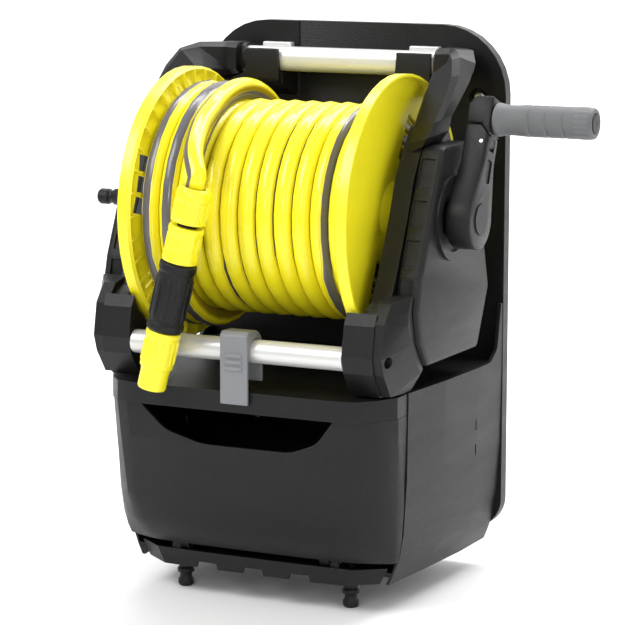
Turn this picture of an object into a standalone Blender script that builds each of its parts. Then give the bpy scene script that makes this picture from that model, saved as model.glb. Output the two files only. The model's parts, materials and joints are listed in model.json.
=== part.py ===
"""Wall-mounted hose station: a wall panel with a storage bin, and a lift-off cassette with a hose reel.

Metres, +Z up. The wall is the plane Y = 0 and the front looks along -Y. X = 0 is the middle plane,
and the origin is on the back of the wall panel, halfway up it.
"""

import math

import bmesh
import bpy
from mathutils import Matrix, Vector

# ---------------------------------------------------------------- driving dimensions
FIT = 0.0004                 # clearance between neighbouring parts
WALL = 0.003                 # general wall of the mouldings

PANEL_HALF_WIDTH = 0.155
PANEL_TOP = 0.237
PANEL_BOTTOM = -0.238
PANEL_DEPTH = 0.0125
PANEL_SKIN = 0.005

BIN_TOP = -0.072
BIN_SEAM = -0.091            # fascia above, flap below
BIN_FLOOR = -0.236
BIN_LIP = -0.247

AXIS_Y = -0.143              # reel axis, along X
AXIS_Z = 0.076
FLANGE_RADIUS = 0.125
FLANGE_INNER = 0.0975        # inner face of a flange, from the middle plane
FLANGE_OUTER = 0.112
DRUM_RADIUS = 0.065

HOSE_DIAMETER = 0.0175
LAYER_RADIUS = 0.0892        # centreline of the outermost full layer of hose
TOP_LAYER_RADIUS = 0.1043    # centreline of the last two turns, at the left
TOP_LAYER_END = -0.0618
TAIL_RADIUS = LAYER_RADIUS + HOSE_DIAMETER + 0.0008
TAIL_X = -0.0520
OUTLET_X = -0.0828           # the hose starts here, inside the drum

ARM_INNER = 0.1165           # inner face of a side frame
ARM_SPLIT = 0.134            # side frame inside, side cover outside
ARM_OUTER = 0.157

TOP_BAR_Y = -0.034
TOP_BAR_Z = 0.202
LOW_BAR_Y = -0.2505
LOW_BAR_Z = -0.037
LOW_BAR_RADIUS = 0.0105
LOW_BAR_JOURNAL = 0.0075     # its ends, inside the feet of the side frames

HOOK_INNER = 0.058
HOOK_OUTER = 0.095

CRANK_INNER = 0.1612
CRANK_OUTER = 0.184
CRANK_THROW = 0.0915
CRANK_LEAN = math.radians(21.8)   # top of the crank leans back towards the wall
HUB_RADIUS = 0.027
FOLD_X = 0.178                    # fold pin of the grip, across the crank
FOLD_UP = 0.068
GRIP_START = 0.1845
GRIP_END = 0.277
GRIP_RADIUS = 0.014

FLAP_AXIS_Y = -0.2165
FLAP_AXIS_Z = -0.2275

NOZZLE_TOP = Vector((-0.0270, -0.2770, 0.1095))
NOZZLE_END = Vector((-0.0713, -0.2810, -0.0727))

ROUND = 48                   # sides of a large turned part
SMALL_ROUND = 24             # sides of a small turned part

SIDES = {"left": -1, "right": 1}


# ---------------------------------------------------------------- scene, materials, placing
def clear_scene():
    for obj in list(bpy.data.objects):
        bpy.data.objects.remove(obj, do_unlink=True)


def collection(name):
    made = bpy.data.collections.new(name)
    bpy.context.scene.collection.children.link(made)
    return made


def material(name, colour, roughness, metallic=0.0):
    made = bpy.data.materials.new(name)
    made.use_nodes = True
    shader = made.node_tree.nodes["Principled BSDF"]
    shader.inputs["Base Color"].default_value = (*colour, 1.0)
    shader.inputs["Roughness"].default_value = roughness
    shader.inputs["Metallic"].default_value = metallic
    return made


clear_scene()
PARTS = collection("hose_station")
CUTTERS = collection("cutters")

BLACK = material("black_plastic", (0.018, 0.018, 0.019), 0.5)
GRAPHITE = material("graphite_plastic", (0.030, 0.030, 0.032), 0.55)
YELLOW = material("yellow_plastic", (0.90, 0.78, 0.03), 0.4)
GREY = material("grey_soft_grip", (0.16, 0.16, 0.17), 0.6)
CLIP_GREY = material("grey_plastic", (0.24, 0.25, 0.26), 0.5)
SILVER = material("silver_paint", (0.72, 0.72, 0.71), 0.35, 0.3)
STEEL = material("zinc_steel", (0.55, 0.55, 0.55), 0.35, 1.0)
RUBBER = material("black_rubber", (0.02, 0.02, 0.02), 0.8)
HOSE = material("yellow_hose", (0.90, 0.79, 0.03), 0.35)


def pivot(name, location):
    """An empty on a joint's axis, which its moving parts are parented to."""
    made = bpy.data.objects.new(name, None)
    made.location = location
    PARTS.objects.link(made)
    return made


def add(name, mesh, look, parent=None, matrix=None):
    obj = bpy.data.objects.new(name, mesh)
    PARTS.objects.link(obj)
    if look:
        mesh.materials.append(look)
    if matrix:
        obj.matrix_world = matrix
    if parent:
        obj.parent = parent
        obj.matrix_parent_inverse = Matrix.Translation(-parent.location)
    return obj


def as_helper(obj):
    PARTS.objects.unlink(obj)
    CUTTERS.objects.link(obj)
    obj.hide_render = True
    obj.display_type = "WIRE"


def combine(target, others, operation):
    for other in others:
        as_helper(other)
        modifier = target.modifiers.new(operation.lower(), "BOOLEAN")
        modifier.operation = operation
        modifier.solver = "EXACT"
        modifier.object = other
    return target


def carve(target, *cutters):
    return combine(target, cutters, "DIFFERENCE")


def fuse(target, *pieces):
    return combine(target, pieces, "UNION")


def rounded_edges(obj, width, segments=2, angle=40):
    bevel = obj.modifiers.new("bevel", "BEVEL")
    bevel.width = width
    bevel.segments = segments
    bevel.limit_method = "ANGLE"
    bevel.angle_limit = math.radians(angle)
    bevel.use_clamp_overlap = True
    return obj


# ---------------------------------------------------------------- shapes
def rounded(corners, steps=4):
    """Points of a closed outline whose corners (a, b, radius) are rounded by arcs."""
    points = []
    for i, (a, b, radius) in enumerate(corners):
        here = Vector((a, b))
        if radius == 0:
            points.append(here)
            continue
        to_last = (Vector(corners[i - 1][:2]) - here).normalized()
        to_next = (Vector(corners[(i + 1) % len(corners)][:2]) - here).normalized()
        half = to_last.angle(to_next) / 2
        middle = here + (to_last + to_next).normalized() * (radius / math.sin(half))
        first = here + to_last * (radius / math.tan(half)) - middle
        last = here + to_next * (radius / math.tan(half)) - middle
        turn = first.angle_signed(last)
        points += [
            middle + Matrix.Rotation(-turn * k / steps, 2) @ first for k in range(steps + 1)
        ]
    return points


def prism_mesh(name, outline, axis, low, high):
    """A flat outline, given in the plane across the axis, carried from low to high along it."""
    order = {"X": (2, 0, 1), "Y": (0, 2, 1), "Z": (0, 1, 2)}[axis]
    mesh = bpy.data.meshes.new(name)
    work = bmesh.new()
    verts = []
    for point in outline:
        values = (point[0], point[1], low)
        verts.append(work.verts.new([values[k] for k in order]))
    face = work.faces.new(verts)
    raised = bmesh.ops.extrude_face_region(work, geom=[face])["geom"]
    shift = Vector([(0, 0, high - low)[k] for k in order])
    bmesh.ops.translate(
        work, vec=shift, verts=[item for item in raised if isinstance(item, bmesh.types.BMVert)]
    )
    bmesh.ops.recalc_face_normals(work, faces=work.faces)
    work.to_mesh(mesh)
    work.free()
    return mesh


def prism(name, outline, axis, low, high, look=None, parent=None):
    return add(name, prism_mesh(name, outline, axis, low, high), look, parent)


def block(name, low, high, look=None, parent=None, bevel=0.0):
    """A box between two corners."""
    mesh = bpy.data.meshes.new(name)
    work = bmesh.new()
    bmesh.ops.create_cube(work, size=1.0)
    low, high = Vector(low), Vector(high)
    size = high - low
    bmesh.ops.scale(work, vec=size, verts=work.verts)
    bmesh.ops.translate(work, vec=(low + high) / 2, verts=work.verts)
    work.to_mesh(mesh)
    work.free()
    obj = add(name, mesh, look, parent)
    if bevel:
        rounded_edges(obj, bevel)
    return obj


def direction_matrix(start, direction):
    """Carries the local Z axis onto a direction, and the local origin to a point."""
    turn = Vector((0, 0, 1)).rotation_difference(Vector(direction).normalized())
    return Matrix.Translation(start) @ turn.to_matrix().to_4x4()


ALONG_X = (1, 0, 0)


def on_axis(x):
    return Vector((x, AXIS_Y, AXIS_Z))


def turned(name, profile, start, direction, look=None, parent=None, steps=SMALL_ROUND, ring=False):
    """A turned solid. The profile holds (radius, height), up its outer side; a ring's is closed."""
    mesh = bpy.data.meshes.new(name)
    work = bmesh.new()
    verts = [work.verts.new((radius, 0, height)) for radius, height in reversed(profile)]
    for first, second in zip(verts, verts[1:]):
        work.edges.new((first, second))
    if ring:
        work.edges.new((verts[-1], verts[0]))
    work.to_mesh(mesh)
    work.free()
    obj = add(name, mesh, look, parent, direction_matrix(start, direction))
    screw = obj.modifiers.new("turn", "SCREW")
    screw.steps = screw.render_steps = steps
    screw.use_merge_vertices = True
    screw.merge_threshold = 0.00001
    screw.use_smooth_shade = True
    return obj


def rod(name, radius, start, end, look=None, parent=None, steps=SMALL_ROUND):
    length = (Vector(end) - Vector(start)).length
    profile = [(0, 0), (radius, 0), (radius, length), (0, length)]
    return turned(name, profile, start, Vector(end) - Vector(start), look, parent, steps)


def sleeve(name, inner, outer, start, end, look=None, parent=None, steps=SMALL_ROUND):
    length = (Vector(end) - Vector(start)).length
    profile = [(inner, 0), (outer, 0), (outer, length), (inner, length)]
    return turned(name, profile, start, Vector(end) - Vector(start), look, parent, steps, ring=True)


def loft(name, rings, look=None, parent=None):
    """A solid through closed rings of equally many points, capped at both ends."""
    mesh = bpy.data.meshes.new(name)
    work = bmesh.new()
    levels = [[work.verts.new(point) for point in ring] for ring in rings]
    count = len(rings[0])
    for lower, upper in zip(levels, levels[1:]):
        for k in range(count):
            after = (k + 1) % count
            work.faces.new((lower[k], lower[after], upper[after], upper[k]))
    work.faces.new(levels[0])
    work.faces.new(levels[-1])
    bmesh.ops.recalc_face_normals(work, faces=work.faces)
    work.to_mesh(mesh)
    work.free()
    return add(name, mesh, look, parent)


def tube(name, points, radius, look, parent=None):
    curve = bpy.data.curves.new(name, "CURVE")
    curve.dimensions = "3D"
    curve.bevel_depth = radius
    curve.bevel_resolution = 3
    curve.use_fill_caps = True
    spline = curve.splines.new("POLY")
    spline.points.add(len(points) - 1)
    for knot, point in zip(spline.points, points):
        knot.co = (*point, 1.0)
    curve.materials.append(look)
    return add(name, curve, None, parent)


def smooth_route(knots, spacing):
    """Points a given distance apart along a smooth curve through the knots."""
    ends = [2 * knots[0] - knots[1], *knots, 2 * knots[-1] - knots[-2]]
    fine = []
    for before, start, end, after in zip(ends, ends[1:], ends[2:], ends[3:]):
        for k in range(20):
            t = k / 20
            fine.append(
                0.5 * (
                    2 * start
                    + (end - before) * t
                    + (2 * before - 5 * start + 4 * end - after) * t * t
                    + (3 * start - before - 3 * end + after) * t ** 3
                )
            )
    fine.append(knots[-1])
    length = sum((b - a).length for a, b in zip(fine, fine[1:]))
    step = length / max(1, round(length / spacing))
    points, walked = [fine[0]], 0.0
    for a, b in zip(fine, fine[1:]):
        walked += (b - a).length
        if walked >= step * len(points) - 1e-6:
            points.append(b)
    return points


# ---------------------------------------------------------------- wall panel
SCREW_SPOTS = {
    "upper_left": (-0.127, 0.170),
    "upper_right": (0.127, 0.170),
    "lower_left": (-0.105, -0.150),
    "lower_right": (0.105, -0.150),
}
SCREW_RECESS = 0.0095
SCREW_HEAD = 0.0060
SCREW_SHANK = 0.0026


def panel_outline(inset):
    half, top, low = PANEL_HALF_WIDTH - inset, PANEL_TOP - inset, PANEL_BOTTOM + inset
    shoulder, corner = 0.064 - inset, 0.030 - inset
    return rounded(
        [
            (-half + inset / 2, low, corner),
            (half - inset / 2, low, corner),
            (half, top, shoulder),
            (-half, top, shoulder),
        ],
        steps=8,
    )


def wall_panel():
    panel = prism("wall_panel", panel_outline(0), "Y", -PANEL_DEPTH, 0.0, BLACK)
    hollow = prism("panel_hollow", panel_outline(WALL), "Y", -PANEL_DEPTH + PANEL_SKIN, 0.01)
    channel = prism(
        "panel_channel",
        rounded([(-0.057, -0.05, 0), (0.057, -0.05, 0), (0.057, 0.26, 0), (-0.057, 0.26, 0)]),
        "Y", -PANEL_DEPTH - 0.01, -PANEL_DEPTH + 0.002,
    )
    carve(panel, hollow, channel)
    pad = block("panel_pad", (-0.032, -PANEL_DEPTH + 0.003, -0.090), (0.032, 0.0, 0.090))
    bosses = [
        rod(f"panel_boss_{name}", 0.013, (x, -PANEL_DEPTH + 0.0005, z), (x, 0, z))
        for name, (x, z) in SCREW_SPOTS.items()
    ]
    fuse(panel, pad, *bosses)
    for name, (x, z) in SCREW_SPOTS.items():
        head = rod(f"panel_recess_{name}", SCREW_RECESS, (x, -0.02, z), (x, -0.0060, z))
        hole = rod(f"panel_hole_{name}", SCREW_SHANK + 0.0005, (x, -0.02, z), (x, 0.01, z), steps=16)
        carve(panel, head, hole)


def wall_screws():
    """Pan-head screws whose shanks end at the wall plane."""
    for name, (x, z) in SCREW_SPOTS.items():
        head = SCREW_HEAD
        profile = [
            (0, -0.0108), (head * 0.7, -0.0102), (head, -0.0085), (head, -0.0064),
            (SCREW_SHANK, -0.0064), (SCREW_SHANK, -0.0005), (0, -0.0005),
        ]
        turned(f"wall_screw_{name}", profile, (x, 0, z), (0, 1, 0), STEEL, steps=16)


def carry_hooks():
    """Each hook carries the top bar on its shelf and keeps it in with its tongue."""
    back = -PANEL_DEPTH - FIT
    shelf = TOP_BAR_Z - 0.0122
    side = rounded(
        [
            (back, 0.166, 0), (back, shelf, 0), (-0.0464, shelf, 0.002), (-0.0464, 0.2125, 0.0015),
            (-0.0508, 0.2125, 0.0015), (-0.0515, 0.182, 0.006), (-0.040, 0.175, 0.008),
        ]
    )
    for word, sign in SIDES.items():
        low, high = sorted((sign * HOOK_INNER, sign * HOOK_OUTER))
        hook = prism(f"carry_hook_{word}", side, "X", low, high, BLACK)
        taper = prism(
            f"hook_taper_{word}",
            [
                (sign * (HOOK_INNER - 0.01), 0.165), (sign * HOOK_INNER, 0.165),
                (sign * (HOOK_INNER + 0.004), 0.22), (sign * (HOOK_INNER - 0.01), 0.22),
            ],
            "Y", -0.06, -0.0455,
        )
        carve(hook, taper)
        plate = [(sign * 0.0590, 0.1903), (sign * 0.0612, 0.2167), (sign * 0.0912, 0.2167), (sign * 0.0934, 0.1903)]
        prism(f"hook_plate_{word}", plate, "Y", -0.0210, back, SILVER)


# ---------------------------------------------------------------- storage bin
FRONT_PROFILE = [            # (height, how far the front stands in from its most forward line)
    (BIN_SEAM, 0.0), (-0.123, 0.003), (-0.178, 0.009), (-0.203, 0.016), (-0.2165, 0.024), (-0.2245, 0.0315),
]
FRONT_LINE = -0.2590


def front_corners(set_back, inset):
    """Plan points of the front, from the left seam round to the right one."""
    half = [
        (0.1420 - inset - set_back * 0.25, -0.2060),
        (0.1415 - inset - set_back * 0.3, -0.2230 + set_back * 0.35 + inset * 0.4),
        (0.1330 - inset * 0.8 - set_back * 0.4, -0.2400 + set_back * 0.7 + inset * 0.7),
        (0.1210 - inset * 0.6 - set_back * 0.5, -0.2545 + set_back + inset),
        (0.1100 - inset * 0.3 - set_back * 0.5, -0.2575 + set_back + inset),
        (0.0550, FRONT_LINE + set_back + inset),
    ]
    return [(-x, y) for x, y in half] + [(0, FRONT_LINE - 0.0005 + set_back + inset)] + half[::-1]


def storage_flap(hinge):
    rings = []
    for z, set_back in FRONT_PROFILE:
        outer = front_corners(set_back, 0)
        inner = front_corners(set_back, WALL)[::-1]
        rings.append([(x, y, z - FIT) for x, y in outer + inner])
    flap = loft("storage_flap", rings, GRAPHITE, hinge)
    scoop = prism(
        "flap_scoop",
        rounded(
            [
                (-0.105, -0.060, 0), (-0.094, -0.0930, 0.010), (-0.072, -0.1140, 0.030),
                (-0.035, -0.1240, 0.060), (0.052, -0.1240, 0.040), (0.078, -0.1140, 0.024),
                (0.094, -0.0930, 0.010), (0.105, -0.060, 0),
            ]
        ),
        "Y", -0.30, -0.24,
    )
    carve(flap, scoop)
    knuckle = rounded(
        [
            (FLAP_AXIS_Y - 0.0197, FLAP_AXIS_Z + 0.018, 0), (FLAP_AXIS_Y + 0.0045, FLAP_AXIS_Z + 0.010, 0.003),
            (FLAP_AXIS_Y + 0.0045, FLAP_AXIS_Z - 0.0045, 0.0042), (FLAP_AXIS_Y - 0.0045, FLAP_AXIS_Z - 0.0045, 0.0042),
            (FLAP_AXIS_Y - 0.0115, FLAP_AXIS_Z + 0.006, 0),
        ]
    )
    for word, sign in SIDES.items():
        low, high = between(sign, 0.066, 0.075)
        fuse(flap, prism(f"flap_knuckle_{word}", knuckle, "X", low, high))
    carve(flap, rod("flap_bore", 0.0021, (-0.12, FLAP_AXIS_Y, FLAP_AXIS_Z), (0.12, FLAP_AXIS_Y, FLAP_AXIS_Z), steps=16))


def flap_pins():
    for word, sign in SIDES.items():
        start = (sign * 0.0655, FLAP_AXIS_Y, FLAP_AXIS_Z)
        end = (sign * 0.0843, FLAP_AXIS_Y, FLAP_AXIS_Z)
        rod(f"flap_pin_{word}", 0.0018, start, end, STEEL, steps=16)


def bin_plan(z_inset, inset):
    """Plan of the bin, closed along the panel."""
    half = [
        (0.1545 - inset - z_inset * 0.45, -PANEL_DEPTH - FIT),
        (0.1535 - inset - z_inset * 0.45, -0.0700),
        (0.1500 - inset - z_inset * 0.5, -0.1370),
        (0.1430 - inset - z_inset * 0.5, -0.2048),
        (0.1380 - inset - z_inset * 0.6, -0.2048),
        (0.1120 - inset - z_inset * 0.6, -0.2240 + inset),
        (0.0500, -0.2255 + inset),
    ]
    return half + [(-x, y) for x, y in half[::-1]]


def storage_bin():
    levels = [
        (-0.020, 0.0), (BIN_TOP, 0.0), (-0.150, 0.002), (-0.200, 0.008), (-0.222, 0.016),
        (-0.238, 0.028), (BIN_LIP, 0.036),
    ]
    shell = loft(
        "storage_bin", [[(x, y, z) for x, y in bin_plan(inward, 0)] for z, inward in levels], GRAPHITE
    )
    inside = []
    for z, inward in [(0.0, 0.0), *levels[1:5], (BIN_FLOOR, 0.024)]:
        ring = [(x, y) for x, y in bin_plan(inward, WALL)]
        ring = [(x, 0.0 if y > -0.02 else y) for x, y in ring]
        inside.append([(x, y, z) for x, y in ring])
    carve(shell, loft("bin_inside", inside))
    under = [
        [(x, y, z) for x, y in bin_plan(inward, WALL)] for z, inward in [(-0.240, 0.030), (-0.260, 0.047)]
    ]
    carve(shell, loft("bin_underside", under))
    above = prism(
        "bin_top_cut",
        rounded(
            [
                (-0.40, 0.10, 0), (-0.40, BIN_TOP, 0), (-0.040, BIN_TOP, 0.010),
                (-0.0245, -0.062, 0.010), (-0.0165, -0.0210, 0), (-0.0165, 0.10, 0),
            ]
        ),
        "X", -0.2, 0.2,
    )
    front = block("bin_front_cut", (-0.2, -0.3, -0.2320), (0.2, -0.2046, 0.05))
    carve(shell, above, front)
    for x in (-0.0465, 0.0, 0.0465):
        notch = prism(
            f"lip_notch_{x * 1000:.0f}",
            [(x - 0.0135, -0.26), (x + 0.0135, -0.26), (x + 0.0095, -0.2415), (x - 0.0095, -0.2415)],
            "Y", -0.26, -0.2100,
        )
        carve(shell, notch)
    lug = rounded(
        [
            (FLAP_AXIS_Y + 0.010, -0.2380, 0), (FLAP_AXIS_Y - 0.005, -0.2380, 0),
            (FLAP_AXIS_Y - 0.005, FLAP_AXIS_Z + 0.005, 0.004), (FLAP_AXIS_Y + 0.005, FLAP_AXIS_Z + 0.005, 0.004),
        ]
    )
    for word, sign in SIDES.items():
        low, high = between(sign, 0.0758, 0.0838)
        fuse(shell, prism(f"bin_lug_{word}", lug, "X", low, high))
    carve(shell, rod("bin_bore", 0.0021, (-0.12, FLAP_AXIS_Y, FLAP_AXIS_Z), (0.12, FLAP_AXIS_Y, FLAP_AXIS_Z), steps=16))
    for word, sign in SIDES.items():
        for number, (low, high) in enumerate([(-0.1300, -0.1205), (-0.1530, -0.1435)], 1):
            slot = block(f"bin_slot_{word}_{number}", (sign * 0.17 - 0.03, -0.0725, low), (sign * 0.17 + 0.03, -0.0705, high))
            carve(shell, slot)
        carve(shell, rod(f"bin_stud_hole_{word}", 0.0056, (sign * 0.084, -0.196, -0.26), (sign * 0.084, -0.196, -0.22)))


def bin_deck():
    """The shelf that the cassette stands on, with the fascia above the flap."""
    half = [
        (0.1495, -PANEL_DEPTH - FIT), (0.1490, -0.0700), (0.1460, -0.1370), (0.1390, -0.2051),
        (0.1420, -0.2051), (0.1415, -0.2250), (0.1310, -0.2450), (0.1180, -0.2590), (0.1040, -0.2625), (0.0500, -0.2630),
    ]
    plan = half + [(-x, y) for x, y in half[::-1]]
    deck = prism("bin_deck", plan, "Z", BIN_SEAM, BIN_TOP - 0.0003, BLACK)
    under = [(x * 0.976, -0.030 if y > -0.02 else y + (0.0034 if y < -0.2044 else 0.0)) for x, y in half]
    pocket = prism(
        "deck_pocket", under + [(-x, y) for x, y in under[::-1]], "Z", BIN_SEAM - 0.01, BIN_TOP - 0.0036
    )
    carve(deck, pocket)


def accessory_nipples():
    """Plug-in studs under the bin that park spare connectors."""
    profile = [
        (0, 0), (0.0062, 0), (0.0074, 0.0020), (0.0074, 0.0055), (0.0056, 0.0085), (0.0056, 0.0115), (0.0080, 0.0130),
        (0.0080, 0.0160), (0.0064, 0.0180), (0.0064, 0.0260), (0.0100, 0.0270), (0.0100, 0.0325), (0.0052, 0.0328),
        (0.0052, 0.0420), (0, 0.0420),
    ]
    for word, sign in SIDES.items():
        turned(f"accessory_nipple_{word}", profile, (sign * 0.084, -0.196, -0.2735), (0, 0, 1), BLACK, steps=20)


# ---------------------------------------------------------------- cassette frame
ARM_OUTLINE = [              # (y, z, corner radius) of the arm below its upper limb
    (-0.142, 0.157, 0.010), (-0.159, 0.137, 0.020), (-0.176, 0.113, 0.030), (-0.189, 0.080, 0.050),
    (-0.2105, 0.036, 0.030), (-0.226, 0.009, 0.010), (-0.240, 0.004, 0.004), (-0.242, -0.060, 0.008),
    (-0.232, -0.0717, 0.008), (-0.194, -0.0717, 0.004), (-0.172, -0.050, 0.008), (-0.077, -0.052, 0.008),
    (-0.051, 0.003, 0.012), (-0.064, 0.050, 0.018), (-0.078, 0.112, 0.024), (-0.098, 0.150, 0.010),
]
LIMB_RINGS = [               # inner front, outer front, outer rear and inner rear corners, from the top bar down
    ((0.1020, -0.0560, 0.1880), (0.1020, -0.0560, 0.2170), (0.1020, -0.0175, 0.2170), (0.1020, -0.0175, 0.1880)),
    ((0.1080, -0.0570, 0.1870), (0.1150, -0.0560, 0.2180), (0.1190, -0.0175, 0.2165), (0.1100, -0.0175, 0.1870)),
    ((0.1165, -0.0900, 0.1900), (0.1300, -0.0800, 0.2190), (0.1370, -0.0400, 0.2160), (0.1165, -0.0420, 0.1790)),
    ((0.1165, -0.1060, 0.1960), (0.1410, -0.0980, 0.2150), (0.1490, -0.0640, 0.2050), (0.1165, -0.0620, 0.1720)),
    ((0.1165, -0.1200, 0.1830), (0.1480, -0.1130, 0.2000), (0.1510, -0.0860, 0.1900), (0.1165, -0.0800, 0.1660)),
    ((0.1165, -0.1330, 0.1680), (0.1490, -0.1340, 0.1790), (0.1510, -0.1120, 0.1740), (0.1165, -0.0920, 0.1570)),
    ((0.1165, -0.1450, 0.1530), (0.1480, -0.1540, 0.1620), (0.1500, -0.1240, 0.1640), (0.1165, -0.1000, 0.1480)),
    ((0.1165, -0.1560, 0.1400), (0.1460, -0.1660, 0.1490), (0.1480, -0.1230, 0.1520), (0.1165, -0.1010, 0.1400)),
    ((0.1180, -0.1600, 0.1310), (0.1400, -0.1640, 0.1416), (0.1400, -0.1260, 0.1416), (0.1180, -0.1040, 0.1310)),
]
COVER_FRONT = [              # (y, z) down the front edge of the side cover
    (-0.160, 0.1405), (-0.170, 0.122), (-0.186, 0.088), (-0.196, 0.065), (-0.211, 0.032), (-0.2190, 0.002),
    (-0.2120, -0.026), (-0.195, -0.0490),
]
COVER_REAR = [
    (-0.079, -0.0505, 0.008), (-0.053, 0.003, 0.012), (-0.066, 0.050, 0.018), (-0.080, 0.112, 0.020),
    (-0.103, 0.1405, 0.010),
]
COVER_OUTLINE = [(y, z, 0.010) for y, z in COVER_FRONT] + COVER_REAR
COVER_WINDOWS = [(0.105, 0.130), (0.0725, 0.0950), (0.0375, 0.0620), (-0.006, 0.0290)]
FOOT_INNER = [               # (y, z) round the foot, at its inner end and where it meets the arm
    (-0.2500, 0.0040), (-0.2560, -0.0060), (-0.2615, -0.0330), (-0.2575, -0.0480), (-0.2420, -0.0700),
    (-0.1960, -0.0717), (-0.2080, -0.0440), (-0.2440, -0.0090),
]
FOOT_OUTER = [
    (-0.2400, 0.0120), (-0.2545, -0.0040), (-0.2600, -0.0330), (-0.2550, -0.0480), (-0.2400, -0.0690),
    (-0.1980, -0.0717), (-0.1960, -0.0510), (-0.2134, -0.0275), (-0.2202, 0.0020), (-0.2180, 0.0160),
]
FOOT_EDGE = [
    (-0.2225, 0.0160), (-0.2270, 0.0040), (-0.2285, -0.0080), (-0.2215, -0.0260), (-0.2060, -0.0480),
    (-0.2000, -0.0540), (-0.1960, -0.0510), (-0.2134, -0.0275), (-0.2202, 0.0020), (-0.2180, 0.0160),
]
BAR_SHAPE = (0.0240, 0.0230)    # top bar, deep and high


def bar_outline(grow):
    half_y, half_z = BAR_SHAPE[0] / 2 + grow, BAR_SHAPE[1] / 2 + grow
    corner = half_z * 0.82
    return rounded(
        [
            (TOP_BAR_Y - half_y, TOP_BAR_Z - half_z, corner), (TOP_BAR_Y - half_y, TOP_BAR_Z + half_z, corner),
            (TOP_BAR_Y + half_y, TOP_BAR_Z + half_z, corner), (TOP_BAR_Y + half_y, TOP_BAR_Z - half_z, corner),
        ],
        steps=5,
    )


def between(sign, near, far):
    return sorted((sign * near, sign * far))


def chamfered_ring(corners, share):
    """Each corner of a four-sided ring cut off, a share of the way along its sides."""
    points = []
    for i, corner in enumerate(corners):
        for other in (corners[i - 1], corners[(i + 1) % 4]):
            points.append(Vector(corner) + (Vector(other) - Vector(corner)) * share)
    return points


def mirrored(points, sign):
    return [(sign * x, y, z) for x, y, z in points]


def side_frames():
    for word, sign in SIDES.items():
        frame = prism(
            f"side_frame_{word}", rounded(ARM_OUTLINE), "X", *between(sign, ARM_INNER, ARM_SPLIT), BLACK
        )
        limb = loft(
            f"frame_limb_{word}", [mirrored(chamfered_ring(ring, 0.16), sign) for ring in LIMB_RINGS]
        )
        foot = loft(
            f"frame_foot_{word}",
            [mirrored([(x, y, z) for y, z in FOOT_INNER], sign) for x in (0.1045, 0.1330)],
        )
        toe_rings = [(0.1300, FOOT_OUTER), (0.1415, FOOT_OUTER), (0.1525, FOOT_EDGE)]
        toe = loft(
            f"frame_toe_{word}", [mirrored([(x, y, z) for y, z in ring], sign) for x, ring in toe_rings]
        )
        collar = prism(f"frame_collar_{word}", bar_outline(0.0030), "X", *between(sign, 0.0975, 0.1120))
        fuse(frame, limb, foot, toe, collar)
        carve(
            frame,
            prism(f"collar_bore_{word}", bar_outline(FIT), "X", *between(sign, 0.090, 0.1130)),
            rod(f"foot_bore_{word}", LOW_BAR_JOURNAL + FIT, (sign * 0.1, LOW_BAR_Y, LOW_BAR_Z),
                (sign * 0.1165, LOW_BAR_Y, LOW_BAR_Z)),
            rod(f"frame_bore_{word}", 0.0160, on_axis(sign * 0.11), on_axis(sign * 0.14)),
            rod(f"foot_screw_hole_{word}", 0.0020, (sign * 0.1100, LOW_BAR_Y, LOW_BAR_Z),
                (sign * 0.1350, LOW_BAR_Y, LOW_BAR_Z), steps=16),
            rod(f"foot_screw_recess_{word}", 0.0052, (sign * 0.1330, LOW_BAR_Y, LOW_BAR_Z),
                (sign * 0.1650, LOW_BAR_Y, LOW_BAR_Z)),
        )


def cover_front(height):
    """How far forward the front edge of a side cover is at a height."""
    for (y_high, z_high), (y_low, z_low) in zip(COVER_FRONT, COVER_FRONT[1:]):
        if z_low <= height <= z_high:
            return y_low + (y_high - y_low) * (height - z_low) / (z_high - z_low)
    return COVER_FRONT[-1][0]


def side_covers():
    for word, sign in SIDES.items():
        cover = prism(
            f"side_cover_{word}", rounded(COVER_OUTLINE), "X",
            *between(sign, ARM_SPLIT + FIT, ARM_OUTER), GRAPHITE,
        )
        rounded_edges(cover, 0.004, 2)
        inside = [(y * 0.93 + AXIS_Y * 0.07, z * 0.93 + 0.002, radius) for y, z, radius in COVER_OUTLINE]
        hollow = prism(f"cover_hollow_{word}", rounded(inside), "X", *between(sign, 0.130, ARM_OUTER - WALL))
        boss = rod(f"cover_boss_{word}", 0.0200, on_axis(sign * (ARM_SPLIT + 0.002)), on_axis(sign * (ARM_OUTER - 0.001)))
        raised = sleeve(f"cover_ring_{word}", 0.0300, 0.0380, on_axis(sign * (ARM_OUTER - 0.001)),
                        on_axis(sign * (ARM_OUTER + 0.0028)), steps=36)
        carve(cover, hollow)
        fuse(cover, boss, raised)
        carve(cover, rod(f"cover_bore_{word}", 0.0160, on_axis(sign * 0.13), on_axis(sign * 0.17)))
        for number, (low, high) in enumerate(COVER_WINDOWS, 1):
            front, back = -0.010, 0.0022
            window = prism(
                f"cover_window_{word}_{number}",
                [
                    (cover_front(low) + front, low), (cover_front(low) + back, low),
                    (cover_front(high) + back, high), (cover_front(high) + front, high),
                ],
                "X", *between(sign, 0.1372, 0.1500),
            )
            carve(cover, window)


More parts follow.
